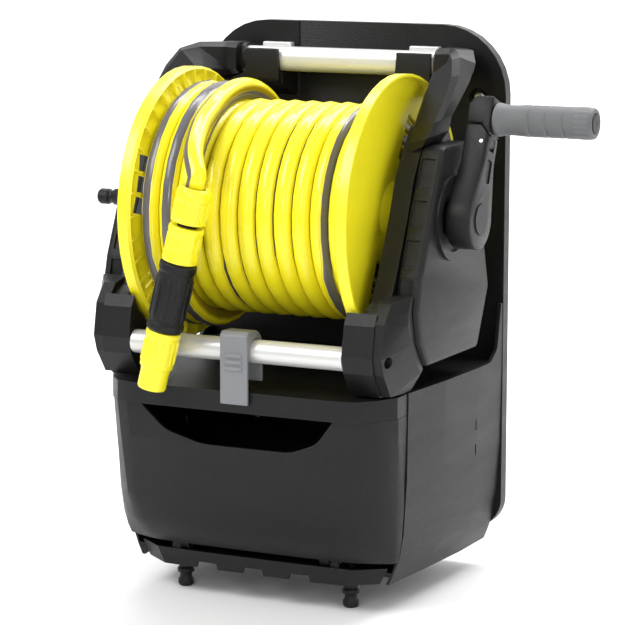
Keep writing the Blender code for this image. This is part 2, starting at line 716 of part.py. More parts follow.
def bars():
    prism("top_bar", bar_outline(0), "X", -0.1120, 0.1120, SILVER)
    journal = LOW_BAR_JOURNAL
    profile = [
        (0, -0.1040), (0.0020, -0.1040), (0.0020, -0.1160), (journal, -0.1160), (journal, -0.1040),
        (LOW_BAR_RADIUS, -0.1040), (LOW_BAR_RADIUS, 0.1040), (journal, 0.1040), (journal, 0.1160),
        (0.0020, 0.1160), (0.0020, 0.1040), (0, 0.1040),
    ]
    turned("lower_bar", profile, (0, LOW_BAR_Y, LOW_BAR_Z), ALONG_X, SILVER)
    for word, sign in SIDES.items():
        profile = [(0, 0), (0.0016, 0), (0.0016, 0.0274), (0.0042, 0.0274), (0.0042, 0.0290), (0.0034, 0.0304), (0, 0.0304)]
        turned(
            f"bar_screw_{word}", profile, (sign * 0.1060, LOW_BAR_Y, LOW_BAR_Z), (sign, 0, 0), STEEL, steps=16
        )


def bearings():
    sleeve("axle_bush_right", 0.0087, 0.0156, on_axis(0.1172), on_axis(0.1596), RUBBER)
    sleeve("axle_bush_left", 0.0124, 0.0156, on_axis(-0.1172), on_axis(-0.1500), RUBBER)


def water_inlet():
    """The fixed inlet: it passes through the left bush into the reel, and ends in a hose nipple."""
    profile = [
        (0.0040, 0), (0.0062, 0), (0.0074, 0.0018), (0.0074, 0.0100), (0.0060, 0.0120), (0.0060, 0.0150),
        (0.0078, 0.0165), (0.0078, 0.0280), (0.0150, 0.0300), (0.0150, 0.0400), (0.0070, 0.0404), (0.0070, 0.0900),
        (0.0058, 0.0903), (0.0058, 0.0930), (0.0070, 0.0933), (0.0070, 0.1000), (0.0040, 0.1000),
    ]
    turned("water_inlet", profile, on_axis(-0.2010), ALONG_X, BLACK, ring=True)
    ring = [(0.0061, 0.0905), (0.0080, 0.0905), (0.0080, 0.0927), (0.0061, 0.0927)]
    turned("inlet_seal", ring, on_axis(-0.2010), ALONG_X, RUBBER, ring=True)


def hose_guide():
    """A grey clip that snaps over the lower bar and slides along it."""
    inner, outer = LOW_BAR_RADIUS + FIT, 0.0145
    arch = [
        (LOW_BAR_Y + inner * math.cos(a), LOW_BAR_Z + inner * math.sin(a))
        for a in (math.radians(15 * k) for k in range(13))
    ]
    crown = [
        (LOW_BAR_Y + outer * math.cos(a), LOW_BAR_Z + (outer + 0.004) * math.sin(a))
        for a in (math.radians(20 * k) for k in range(5))
    ]
    side = (
        [(LOW_BAR_Y + inner, -0.066)] + arch
        + [(-0.2642, -0.046), (-0.2642, -0.083), (-0.2678, -0.083), (-0.2678, -0.0215), (-0.2640, -0.0180)]
        + crown[::-1] + [(LOW_BAR_Y + outer, -0.066)]
    )
    prism("hose_guide", side, "X", -0.0100, 0.0170, CLIP_GREY)


# ---------------------------------------------------------------- reel
def flange_slots(name, x_low, x_high):
    """Fans of narrow slots and of wide windows, in turn round the flange."""
    mesh = bpy.data.meshes.new(name)
    work = bmesh.new()
    for sector in range(6):
        middle = math.radians(75 + 60 * sector)
        count, width, pitch, low, high = (7, 0.0032, 0.0085, 0.082, 0.112) if sector % 2 == 0 else (3, 0.0150, 0.0190, 0.085, 0.110)
        for k in range(count):
            across = (k - (count - 1) / 2) * pitch
            made = bmesh.ops.create_cube(work, size=1.0)["verts"]
            bmesh.ops.scale(work, vec=(x_high - x_low, high - low, width), verts=made)
            bmesh.ops.translate(work, vec=((x_low + x_high) / 2, -(low + high) / 2, across), verts=made)
            bmesh.ops.rotate(work, cent=(0, 0, 0), matrix=Matrix.Rotation(-middle, 3, "X"), verts=made)
    bmesh.ops.translate(work, vec=on_axis(0), verts=work.verts)
    work.to_mesh(mesh)
    work.free()
    return add(name, mesh, None)


def flanges(reel):
    """Dished flanges. Heights run outwards from the inner face."""
    for word, sign in SIDES.items():
        hub_bore = 0.0087 if sign > 0 else 0.0084
        journal = 0.0140 if sign > 0 else 0.0120
        hub_end = 0.0180 if sign > 0 else 0.0520
        profile = [
            (hub_bore, -0.0020), (0.0600, -0.0020), (0.0600, 0), (0.1060, 0.0015), (0.1150, 0.0050), (0.1180, 0.0050),
            (0.1225, 0.0015), (0.1250, 0.0040), (0.1250, 0.0135), (0.1225, 0.0135), (0.1215, 0.0080),
            (0.1150, 0.0080), (0.1040, 0.0045), (0.0300, 0.0030), (journal, 0.0100), (journal, hub_end), (hub_bore, hub_end),
        ]
        direction = (sign, 0, 0)
        flange = turned(
            f"reel_flange_{word}", profile, on_axis(sign * FLANGE_INNER), direction, YELLOW, reel, ROUND, ring=True
        )
        if sign < 0:
            carve(flange, flange_slots(f"flange_slots_{word}", -0.120, -0.090))
        else:
            for number, angle in enumerate((-62, 118), 1):
                window = [(0.050, -0.30), (0.050, 0.30), (0.092, 0.16), (0.092, -0.16)]
                turned_points = [
                    (AXIS_Y - r * math.cos(math.radians(angle) + a), AXIS_Z + r * math.sin(math.radians(angle) + a))
                    for r, a in window
                ]
                carve(flange, prism(f"flange_window_{number}", turned_points, "X", 0.090, 0.120))


def reel_core(reel):
    drum = sleeve("reel_drum", DRUM_RADIUS - WALL, DRUM_RADIUS, on_axis(-0.0972), on_axis(0.0972), YELLOW, reel, ROUND)
    slot = block("drum_slot", (-0.100, AXIS_Y - 0.0680, AXIS_Z + 0.0280), (-0.0705, AXIS_Y - 0.0060, AXIS_Z + 0.0800))
    carve(drum, slot)
    outlet = rod("drum_outlet", 0.0082, on_axis(-0.0945), on_axis(-0.0750), BLACK, reel)
    riser = rod("outlet_riser", 0.0070, on_axis(OUTLET_X), on_axis(OUTLET_X) + Vector((0, 0, 0.0480)))
    barb = rod(
        "outlet_barb", 0.0068, on_axis(OUTLET_X) + Vector((0, 0.0068, 0.0480)),
        on_axis(OUTLET_X) + Vector((0, -0.0074, 0.0480)),
    )
    fuse(outlet, riser, barb)
    nut_start = on_axis(OUTLET_X) + Vector((0, -0.0078, 0.0480))
    rod("inner_hose_nut", 0.0116, nut_start, nut_start - Vector((0, 0.0150, 0)), YELLOW, reel)
    rod("drive_shaft", 0.0083, on_axis(0.0960), on_axis(0.1740), STEEL, reel)


def hose_winding(reel):
    """The wound hose: two full layers as one ring, and two more turns at the left as another."""
    half, full = FLANGE_INNER - 0.0006, LAYER_RADIUS + HOSE_DIAMETER / 2
    top = TOP_LAYER_RADIUS + HOSE_DIAMETER / 2
    profile = [
        (DRUM_RADIUS + FIT, -half), (full - 0.004, -half), (full, -half + 0.004), (full, half - 0.004),
        (full - 0.004, half), (DRUM_RADIUS + FIT, half),
    ]
    turned("hose_winding", profile, on_axis(0), ALONG_X, HOSE, reel, ROUND, ring=True)
    upper = [
        (full + FIT, -half), (top - 0.004, -half), (top, -half + 0.004), (top, TOP_LAYER_END - 0.003),
        (top - 0.003, TOP_LAYER_END), (full + FIT, TOP_LAYER_END),
    ]
    turned("hose_top_turns", upper, on_axis(0), ALONG_X, HOSE, reel, ROUND, ring=True)


def along_crank(x, up, across=0.0):
    """A point in the crank's own frame: out along X, up along the crank, and across it."""
    up_dir = Vector((0, math.sin(CRANK_LEAN), math.cos(CRANK_LEAN)))
    across_dir = Vector((0, math.cos(CRANK_LEAN), -math.sin(CRANK_LEAN)))
    return on_axis(x) + up_dir * up + across_dir * across


def crank_prism(name, outline, x_low, x_high, look=None, parent=None):
    """An outline of (across, up) points, carried along X in the crank's frame."""
    points = [along_crank(0, up, across) for across, up in outline]
    return prism(name, [(point.y, point.z) for point in points], "X", x_low, x_high, look, parent)


def side_prism(name, outline, half_width, look=None, parent=None):
    """An outline of (x, up) points, carried across the crank."""
    rings = [[along_crank(x, up, across) for x, up in outline] for across in (-half_width, half_width)]
    return loft(name, rings, look, parent)


CRANK_TOP = 0.0838           # level part of the split between crank and folding block


def crank(reel):
    hub = [
        (HUB_RADIUS * math.cos(a), HUB_RADIUS * math.sin(a))
        for a in (math.radians(-200 + 10 * k) for k in range(23))
    ]
    body = crank_prism("crank_arm", hub + [(0.0132, 0.050), (0.0132, CRANK_TOP), (-0.0132, CRANK_TOP), (-0.0132, 0.050)],
                       CRANK_INNER, CRANK_OUTER, BLACK, reel)
    rounded_edges(body, 0.0025, 2)
    corner = side_prism(
        "crank_corner_cut", [(0.1748, 0.0900), (0.1748, 0.0840), (0.1900, 0.0671), (0.1900, 0.0900)], 0.02
    )
    fork = side_prism(
        "crank_fork_cut",
        rounded([(0.1714, 0.0900, 0), (0.1714, FOLD_UP - 0.0064, 0.004), (0.1900, FOLD_UP - 0.0064, 0), (0.1900, 0.0900, 0)]),
        0.0054,
    )
    carve(
        body, corner, fork,
        rod("crank_bore", 0.0087, on_axis(0.155), on_axis(0.1746)),
        rod("crank_screw_hole", 0.0036, on_axis(0.170), on_axis(0.190), steps=16),
        rod("crank_head_pocket", 0.0075, on_axis(0.1782), on_axis(0.190)),
        rod("crank_cap_pocket", 0.0142, on_axis(0.1815), on_axis(0.190)),
        rod("crank_pin_hole", 0.0022, along_crank(FOLD_X, FOLD_UP, -0.03), along_crank(FOLD_X, FOLD_UP, 0.03), steps=16),
        crank_prism(
            "crank_slot", rounded([(-0.0062, 0.033, 0.003), (0.0062, 0.033, 0.003), (0.0062, 0.054, 0.003), (-0.0062, 0.054, 0.003)]),
            CRANK_OUTER - 0.0012, CRANK_OUTER + 0.01,
        ),
    )
    rod("crank_cap", 0.0138, on_axis(0.1819), on_axis(0.1850), GRAPHITE, reel)
    profile = [(0, 0), (0.0032, 0), (0.0032, 0.0039), (0.0070, 0.0040), (0.0070, 0.0065), (0, 0.0065)]
    turned("crank_screw", profile, on_axis(0.1746), ALONG_X, STEEL, reel, steps=16)
    rod("fold_pin", 0.0018, along_crank(FOLD_X, FOLD_UP, -0.0128), along_crank(FOLD_X, FOLD_UP, 0.0128), STEEL, reel, steps=16)


def grip_block(fold):
    """The block that folds on the crank's end, with the grip's spindle socket in it."""
    cheek = [
        (CRANK_INNER, 0.0844), (0.1752, 0.0844), (0.1840, 0.0746), (0.1840, 0.1095), (0.1665, 0.1095), (CRANK_INNER, 0.1020),
    ]
    body = side_prism("grip_block", cheek, 0.0130, BLACK, fold)
    rounded_edges(body, 0.002, 2)
    tongue = [(0.1722, 0.0890), (0.1722, FOLD_UP + 0.001)]
    tongue += [
        (FOLD_X + 0.0058 * math.cos(a), FOLD_UP + 0.0058 * math.sin(a))
        for a in (math.radians(180 + 20 * k) for k in range(10))
    ]
    tongue += [(0.1838, 0.0890)]
    knuckle = side_prism("block_knuckle", tongue, 0.0048)
    fuse(body, knuckle)
    socket_start = along_crank(0.1700, CRANK_THROW)
    socket = rod("block_socket", 0.0045, socket_start, along_crank(0.20, CRANK_THROW))
    hole = rod("block_pin_hole", 0.0022, along_crank(FOLD_X, FOLD_UP, -0.03), along_crank(FOLD_X, FOLD_UP, 0.03), steps=16)
    carve(body, socket, hole)
    rod("grip_spindle", 0.0041, along_crank(0.1704, CRANK_THROW), along_crank(0.2700, CRANK_THROW), STEEL, fold)


def grip(spin):
    length = GRIP_END - GRIP_START
    profile = [
        (0.0046, 0), (0.0128, 0), (0.0146, 0.0015), (0.0146, 0.0040), (0.0136, 0.0100), (GRIP_RADIUS, 0.0340),
        (GRIP_RADIUS, length - 0.0150), (0.0132, length - 0.0020), (0.0115, length - 0.0004), (0.0092, length - 0.0004),
        (0.0092, length - 0.0040), (0.0046, length - 0.0040),
    ]
    turned("grip_sleeve", profile, along_crank(GRIP_START, CRANK_THROW), ALONG_X, GREY, spin, 28, ring=True)
    rod("grip_end_cap", 0.0088, along_crank(GRIP_END - 0.0036, CRANK_THROW), along_crank(GRIP_END, CRANK_THROW), GRAPHITE, spin)


# ---------------------------------------------------------------- hose end
NOZZLE_DIRECTION = (NOZZLE_END - NOZZLE_TOP).normalized()


def nozzle_point(distance):
    return NOZZLE_TOP + NOZZLE_DIRECTION * distance


def nozzle_turned(name, profile, look, parent=None, ring=False):
    return turned(name, profile, NOZZLE_TOP, NOZZLE_DIRECTION, look, parent, 28, ring)


def hose_end(sleeve_slide, tip_twist):
    nozzle_turned(
        "hose_nut",
        [(0.0093, 0.0020), (0.0130, 0.0020), (0.0152, 0.0045), (0.0157, 0.0080), (0.0157, 0.0315), (0.0150, 0.0330), (0.0093, 0.0330)],
        YELLOW, ring=True,
    )
    nozzle_turned("coupler_core", [(0, 0.0060), (0.0088, 0.0060), (0.0088, 0.0660), (0, 0.0660)], BLACK)
    nozzle_turned(
        "coupler_sleeve",
        [(0.0093, 0.0368), (0.0148, 0.0368), (0.0156, 0.0385), (0.0150, 0.0480), (0.0157, 0.0600), (0.0157, 0.0690), (0.0093, 0.0690)],
        YELLOW, sleeve_slide, ring=True,
    )
    nozzle_turned(
        "nozzle_body",
        [
            (0, 0.0665), (0.0085, 0.0665), (0.0085, 0.0694), (0.0157, 0.0698), (0.0164, 0.0720), (0.0164, 0.1290), (0.0155, 0.1318),
            (0.0060, 0.1322), (0.0060, 0.1500), (0, 0.1500),
        ],
        BLACK,
    )
    nozzle_turned(
        "nozzle_tip",
        [
            (0.0030, 0.1505), (0.0064, 0.1505), (0.0064, 0.1326), (0.0150, 0.1326), (0.0153, 0.1345), (0.0153, 0.1560),
            (0.0143, 0.1660), (0.0128, 0.1740), (0.0124, 0.1850), (0.0115, 0.1864), (0.0030, 0.1864),
        ][::-1][::-1],
        YELLOW, tip_twist, ring=True,
    )


def hose_tail():
    """The last turn of hose, which lies over the winding and leads to the nut."""
    turn = []
    for k in range(17):
        angle = math.radians(-125 - 11 * k)       # from below the axis at the back, up and over to the front
        x = TAIL_X
        turn.append(on_axis(x) + Vector((0, -math.cos(angle), math.sin(angle))) * TAIL_RADIUS)
    lead = [
        Vector((-0.0470, -0.2300, 0.1560)),
        Vector((-0.0370, -0.2620, 0.1360)),
        nozzle_point(-0.0070),
    ]
    tube("hose_tail", smooth_route(turn + lead, 0.024) + [nozzle_point(0.0030)], HOSE_DIAMETER / 2, HOSE)


# ---------------------------------------------------------------- assembly
def main():
    reel = pivot("reel_axis", on_axis(0))
    fold = pivot("fold_axis", along_crank(FOLD_X, FOLD_UP))
    spin = pivot("grip_axis", along_crank(GRIP_START, CRANK_THROW))
    flap_hinge = pivot("flap_axis", Vector((0, FLAP_AXIS_Y, FLAP_AXIS_Z)))
    sleeve_slide = pivot("sleeve_axis", nozzle_point(0.0500))
    tip_twist = pivot("tip_axis", nozzle_point(0.1600))

    wall_panel()
    wall_screws()
    carry_hooks()
    storage_bin()
    bin_deck()
    storage_flap(flap_hinge)
    flap_pins()
    accessory_nipples()

    side_frames()
    side_covers()
    bars()
    bearings()
    water_inlet()
    hose_guide()

    flanges(reel)
    reel_core(reel)
    hose_winding(reel)
    crank(reel)
    grip_block(fold)
    grip(spin)

    hose_end(sleeve_slide, tip_twist)
    hose_tail()


main()
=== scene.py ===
"""Looks of the wall-mounted hose station: finished pieces, their materials, and the stage around them.

Metres, +Z up. The wall is the plane Y = 0 and the front looks along -Y. Each finished piece sits at
the origin with its place in its mesh, and rides on the body that its solid belongs to.
"""

import json
import math

import bmesh
import bpy
from bpy.props import FloatProperty, FloatVectorProperty, IntProperty, PointerProperty
from mathutils import Matrix, Vector


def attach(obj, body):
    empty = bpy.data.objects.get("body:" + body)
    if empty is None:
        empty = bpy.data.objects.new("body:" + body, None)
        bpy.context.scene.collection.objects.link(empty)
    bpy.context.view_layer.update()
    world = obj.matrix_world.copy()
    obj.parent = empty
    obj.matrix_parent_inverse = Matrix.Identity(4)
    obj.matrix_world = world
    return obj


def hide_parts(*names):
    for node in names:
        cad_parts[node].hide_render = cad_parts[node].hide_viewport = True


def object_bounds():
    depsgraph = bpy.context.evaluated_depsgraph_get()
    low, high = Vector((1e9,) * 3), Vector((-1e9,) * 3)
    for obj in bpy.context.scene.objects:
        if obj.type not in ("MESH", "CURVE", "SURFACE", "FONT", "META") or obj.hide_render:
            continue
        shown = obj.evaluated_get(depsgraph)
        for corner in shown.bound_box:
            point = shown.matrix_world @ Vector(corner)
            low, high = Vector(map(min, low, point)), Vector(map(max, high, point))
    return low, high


bl_info = {
    "name": "Hose Station",
    "version": (1, 0, 0),
    "blender": (4, 5, 0),
    "location": "View3D > Sidebar > Hose Station",
    "description": "Builds the finished pieces of a wall-mounted hose station and its stage",
    "category": "Object",
}

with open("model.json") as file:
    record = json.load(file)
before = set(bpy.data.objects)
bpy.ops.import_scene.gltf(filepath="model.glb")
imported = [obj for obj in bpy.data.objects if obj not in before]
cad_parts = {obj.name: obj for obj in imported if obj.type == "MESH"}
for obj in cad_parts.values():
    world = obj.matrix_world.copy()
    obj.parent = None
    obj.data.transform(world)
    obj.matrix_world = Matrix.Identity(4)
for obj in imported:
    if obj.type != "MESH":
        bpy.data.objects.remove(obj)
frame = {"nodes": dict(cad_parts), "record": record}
CAD_BOX = [list(corner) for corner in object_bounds()]

# ---------------------------------------------------------------- places shared with the solids
AXIS = Vector((0, -0.143, 0.076))
NOZZLE_TOP = Vector((-0.0270, -0.2770, 0.1095))
NOZZLE_END = Vector((-0.0713, -0.2810, -0.0727))
CRANK_LEAN = math.radians(21.8)
CRANK_THROW = 0.0915
TAIL_X = -0.0520
OUTLET_X = -0.0828           # the nut on the inner end of the hose
FLANGE_INNER = 0.0975        # inner face of a flange, from the middle plane
SIDES = {"left": -1, "right": 1}


def nozzle_point(distance):
    return NOZZLE_TOP + (NOZZLE_END - NOZZLE_TOP).normalized() * distance


def along_crank(x, up, across=0.0):
    """A point in the crank's own frame: out along X, up along the crank, and across it."""
    up_dir = Vector((0, math.sin(CRANK_LEAN), math.cos(CRANK_LEAN)))
    across_dir = Vector((0, math.cos(CRANK_LEAN), -math.sin(CRANK_LEAN)))
    return AXIS + Vector((x, 0, 0)) + up_dir * up + across_dir * across


# ---------------------------------------------------------------- settings
class HoseSettings(bpy.types.PropertyGroup):
    diameter: FloatProperty(
        name="Diameter", description="Outside diameter of the hose", default=0.0175, unit="LENGTH"
    )
    first_layer: FloatProperty(
        name="First Layer", description="Centreline radius of the first layer on the drum",
        default=0.0742,
        unit="LENGTH",
    )
    second_layer: FloatProperty(
        name="Second Layer", description="Centreline radius of the second layer", default=0.0892,
        unit="LENGTH"
    )
    top_layer: FloatProperty(
        name="Top Layer", description="Centreline radius of the last turns", default=0.1043, unit="LENGTH"
    )
    half_width: FloatProperty(
        name="Half Width", description="From the middle to the centreline of an outermost turn",
        default=0.0878,
        unit="LENGTH",
    )
    turns: IntProperty(name="Turns", description="Turns in a full layer", default=10, min=2)
    colour: FloatVectorProperty(
        name="Colour", description="Hose colour", default=(0.84, 0.735, 0.016), subtype="COLOR"
    )
    stripe: FloatVectorProperty(
        name="Stripe", description="Colour of the stripe along the hose", default=(0.10, 0.095, 0.105),
        subtype="COLOR",
    )


class FittingSettings(bpy.types.PropertyGroup):
    nut_ribs: IntProperty(name="Nut Ribs", description="Ribs round the hose nut", default=14, min=3)
    collar_ribs: IntProperty(
        name="Collar Ribs", description="Ribs round the release sleeve", default=12, min=3
    )
    body_ribs: IntProperty(
        name="Body Ribs", description="Ribs round the nozzle's body", default=10, min=3
    )
    tip_ribs: IntProperty(name="Tip Ribs", description="Ribs round the spray tip", default=16, min=3)
    rib_width: FloatProperty(
        name="Rib Width", description="Width of a rib on the fittings", default=0.0026, unit="LENGTH"
    )
    rib_height: FloatProperty(
        name="Rib Height", description="How far a rib stands out", default=0.0009, unit="LENGTH"
    )
    clip_bars: IntProperty(name="Clip Bars", description="Ridges on the hose guide", default=3, min=1)
    grip_grooves: IntProperty(
        name="Grip Grooves", description="Grooves round the crank's grip", default=3, min=1
    )
    flange_ribs: IntProperty(
        name="Flange Ribs", description="Ribs round the dished face of a flange", default=36, min=3
    )
    groove_pitch: FloatProperty(
        name="Groove Pitch", description="Spacing of the grooves of the grip", default=0.016,
        unit="LENGTH"
    )


class FinishSettings(bpy.types.PropertyGroup):
    black: FloatVectorProperty(
        name="Black", description="Black mouldings", default=(0.0058, 0.0058, 0.0062), subtype="COLOR"
    )
    graphite: FloatVectorProperty(
        name="Graphite", description="Covers, bin and flap", default=(0.0068, 0.0068, 0.0072),
        subtype="COLOR"
    )
    yellow: FloatVectorProperty(
        name="Yellow", description="Yellow mouldings", default=(0.83, 0.735, 0.014), subtype="COLOR"
    )
    grip: FloatVectorProperty(
        name="Grip", description="Soft grip of the crank", default=(0.105, 0.108, 0.114), subtype="COLOR"
    )
    clip: FloatVectorProperty(
        name="Clip", description="Hose guide", default=(0.165, 0.170, 0.180), subtype="COLOR"
    )
    silver: FloatVectorProperty(
        name="Silver", description="Painted bars", default=(0.66, 0.66, 0.645), subtype="COLOR"
    )
    grain: FloatProperty(
        name="Grain", description="Height of the fine grain on the mouldings", default=0.00020,
        unit="LENGTH"
    )


class StageSettings(bpy.types.PropertyGroup):
    floor: FloatVectorProperty(
        name="Floor", description="Tone of the floor", default=(0.86, 0.86, 0.86), subtype="COLOR"
    )
    sky: FloatProperty(name="Surroundings", description="Brightness of the surroundings", default=0.62)
    key: FloatProperty(name="Key", description="Power of the key light", default=32.0, unit="POWER")
    fill: FloatProperty(name="Fill", description="Power of the fill light", default=9.0, unit="POWER")
    rim: FloatProperty(name="Rim", description="Power of the rim light", default=16.0, unit="POWER")
    glint: FloatProperty(
        name="Glint", description="Power of the narrow light that draws the highlights",
        default=5.0, unit="POWER"
    )
    sweep: FloatProperty(
        name="Sweep", description="Power of the light on the backdrop", default=150.0, unit="POWER"
    )


# ---------------------------------------------------------------- node helpers
def new_group(name, inputs, outputs):
    """A shader node group. inputs are (name, type, default); outputs are (name, type)."""
    tree = bpy.data.node_groups.new(name, "ShaderNodeTree")
    for label, kind, default in inputs:
        socket = tree.interface.new_socket(label, in_out="INPUT", socket_type=kind)
        socket.default_value = default
    for label, kind in outputs:
        tree.interface.new_socket(label, in_out="OUTPUT", socket_type=kind)
    return tree, tree.nodes.new("NodeGroupInput"), tree.nodes.new("NodeGroupOutput")


def node(tree, kind, inputs=(), **settings):
    """Adds a node. inputs maps a socket's name or number to a value or to another node's socket."""
    made = tree.nodes.new(kind)
    for key, value in settings.items():
        setattr(made, key, value)
    for key, value in dict(inputs).items():
        socket = made.inputs[key]
        if isinstance(value, bpy.types.NodeSocket):
            tree.links.new(value, socket)
        else:
            socket.default_value = value
    return made


def math_node(tree, operation, first, second=0.0, third=0.0, clamp=False):
    made = node(tree, "ShaderNodeMath", {0: first, 1: second, 2: third}, operation=operation)
    made.use_clamp = clamp
    return made.outputs[0]


def mix_colour(tree, factor, first, second, blend="MIX"):
    made = node(tree, "ShaderNodeMix", data_type="RGBA", blend_type=blend)
    for socket, value in zip((made.inputs[0], made.inputs[6], made.inputs[7]), (factor, first, second)):
        if isinstance(value, bpy.types.NodeSocket):
            tree.links.new(value, socket)
        elif socket.type == "RGBA":
            socket.default_value = (*value[:3], 1.0)
        else:
            socket.default_value = value
    return made.outputs[2]


def ranged(tree, value, low, high, to_low, to_high):
    made = node(
        tree, "ShaderNodeMapRange",
        {"Value": value, "From Min": low, "From Max": high, "To Min": to_low, "To Max": to_high},
    )
    return made.outputs[0]


# ---------------------------------------------------------------- shared effects
def grain_group():
    """Fine moulded grain: pebbles with finer noise between them."""
    tree, given, out = new_group(
        "fine_grain",
        [("Vector", "NodeSocketVector", (0, 0, 0)), ("Scale", "NodeSocketFloat", 900.0)],
        [("Height", "NodeSocketFloat")],
    )
    pebbles = node(
        tree, "ShaderNodeTexVoronoi",
        {"Vector": given.outputs["Vector"], "Scale": given.outputs["Scale"]},
        feature="SMOOTH_F1",
    )
    finer = math_node(tree, "MULTIPLY", given.outputs["Scale"], 2.3)
    noise = node(
        tree, "ShaderNodeTexNoise",
        {"Vector": given.outputs["Vector"], "Scale": finer, "Detail": 3.0, "Roughness": 0.6},
    )
    height = math_node(tree, "MULTIPLY_ADD", noise.outputs["Fac"], 0.5, pebbles.outputs["Distance"])
    tree.links.new(height, out.inputs["Height"])
    return tree


def edge_sheen_and_wear_group():
    """Masks of edges painted bright, partly as rubbed wear and partly as painted highlight, and of flow
    marks left by handling.
    """
    tree, given, out = new_group(
        "edge_sheen_and_wear",
        [("Vector", "NodeSocketVector", (0, 0, 0)), ("Radius", "NodeSocketFloat", 0.0012)],
        [("Edges", "NodeSocketFloat"), ("Marks", "NodeSocketFloat")],
    )
    rounded = node(tree, "ShaderNodeBevel", {"Radius": given.outputs["Radius"]}, samples=4)
    shape = node(tree, "ShaderNodeNewGeometry")
    facing = node(
        tree, "ShaderNodeVectorMath", {0: rounded.outputs[0], 1: shape.outputs["Normal"]},
        operation="DOT_PRODUCT",
    )
    turned = ranged(tree, facing.outputs["Value"], 0.995, 0.90, 0.0, 1.0)
    patches = node(
        tree, "ShaderNodeTexNoise", {"Vector": given.outputs["Vector"], "Scale": 38.0, "Detail": 4.0}
    )
    broken = ranged(tree, patches.outputs["Fac"], 0.38, 0.62, 0.25, 1.0)
    tree.links.new(math_node(tree, "MULTIPLY", turned, broken), out.inputs["Edges"])
    stretch = node(
        tree, "ShaderNodeMapping", {"Vector": given.outputs["Vector"], "Scale": (14.0, 9.0, 46.0)}
    )
    streaks = node(
        tree, "ShaderNodeTexNoise",
        {"Vector": stretch.outputs[0], "Scale": 1.0, "Detail": 6.0, "Roughness": 0.65, "Distortion": 0.6},
    )
    tree.links.new(ranged(tree, streaks.outputs["Fac"], 0.35, 0.72, 0.0, 1.0), out.inputs["Marks"])
    return tree


def dust_group():
    """A mask of thin dust on what faces up, broken by noise."""
    tree, given, out = new_group(
        "dust", [("Vector", "NodeSocketVector", (0, 0, 0)), ("Amount", "NodeSocketFloat", 0.1)],
        [("Mask", "NodeSocketFloat")],
    )
    shape = node(tree, "ShaderNodeNewGeometry")
    upward = node(tree, "ShaderNodeSeparateXYZ", {0: shape.outputs["Normal"]})
    facing = ranged(tree, upward.outputs["Z"], 0.2, 0.95, 0.0, 1.0)
    cloud = node(
        tree, "ShaderNodeTexNoise", {"Vector": given.outputs["Vector"], "Scale": 55.0, "Detail": 6.0}
    )
    broken = ranged(tree, cloud.outputs["Fac"], 0.35, 0.7, 0.2, 1.0)
    mask = math_node(
        tree, "MULTIPLY", math_node(tree, "MULTIPLY", facing, broken), given.outputs["Amount"]
    )
    tree.links.new(mask, out.inputs["Mask"])
    return tree


EFFECTS = {}


def effect(name):
    """A shared shader node group, built the first time it is asked for."""
    if name not in EFFECTS:
        EFFECTS[name] = {"fine_grain": grain_group, "edge_sheen_and_wear": edge_sheen_and_wear_group, "dust": dust_group}[name]()
    return EFFECTS[name]


def use_effect(tree, name, inputs):
    made = tree.nodes.new("ShaderNodeGroup")
    made.node_tree = effect(name)
    for key, value in inputs.items():
        if isinstance(value, bpy.types.NodeSocket):
            tree.links.new(value, made.inputs[key])
        else:
            made.inputs[key].default_value = value
    return made


# ---------------------------------------------------------------- materials
def blank_material(name):
    made = bpy.data.materials.new(name)
    made.use_nodes = True
    tree = made.node_tree
    shader = tree.nodes["Principled BSDF"]
    return made, tree, shader, node(tree, "ShaderNodeTexCoord")


def moulded(
    name, colour, roughness, grain_scale, grain_height, edge_tint, dust=0.06, coat=0.0,
    variation=0.12, specular=0.5,
):
    """A moulded plastic with fine grain, edges painted lighter as rubbed wear and as painted highlight,
    handling marks and a little dust.
    """
    made, tree, shader, place = blank_material(name)
    where = place.outputs["Object"]
    sheen_and_wear = use_effect(tree, "edge_sheen_and_wear", {"Vector": where, "Radius": 0.0011})
    dusty = use_effect(tree, "dust", {"Vector": where, "Amount": dust})
    cloud = node(tree, "ShaderNodeTexNoise", {"Vector": where, "Scale": 11.0, "Detail": 3.0})
    darker = tuple(c * (1.0 - variation) for c in colour)
    lighter = tuple(min(1.0, c * (1.0 + variation)) for c in colour)
    base = mix_colour(tree, cloud.outputs["Fac"], darker, lighter)
    # edges painted lighter: partly rubbed wear, partly a painted highlight along the edges
    edged = mix_colour(tree, math_node(tree, "MULTIPLY", sheen_and_wear.outputs["Edges"], 0.55), base, edge_tint)
    final = mix_colour(tree, dusty.outputs["Mask"], edged, (0.42, 0.41, 0.38))
    tree.links.new(final, shader.inputs["Base Color"])
    rough = math_node(tree, "MULTIPLY_ADD", sheen_and_wear.outputs["Marks"], 0.10, roughness - 0.05)
    rough = math_node(tree, "MULTIPLY_ADD", dusty.outputs["Mask"], 0.5, rough)
    tree.links.new(rough, shader.inputs["Roughness"])
    grain = use_effect(tree, "fine_grain", {"Vector": where, "Scale": grain_scale})
    bump = node(
        tree, "ShaderNodeBump",
        {"Height": grain.outputs["Height"], "Distance": grain_height, "Strength": 1.0},
    )
    tree.links.new(bump.outputs[0], shader.inputs["Normal"])
    shader.inputs["Specular IOR Level"].default_value = specular
    if coat:
        shader.inputs["Coat Weight"].default_value = coat
        shader.inputs["Coat Roughness"].default_value = 0.15
    return made


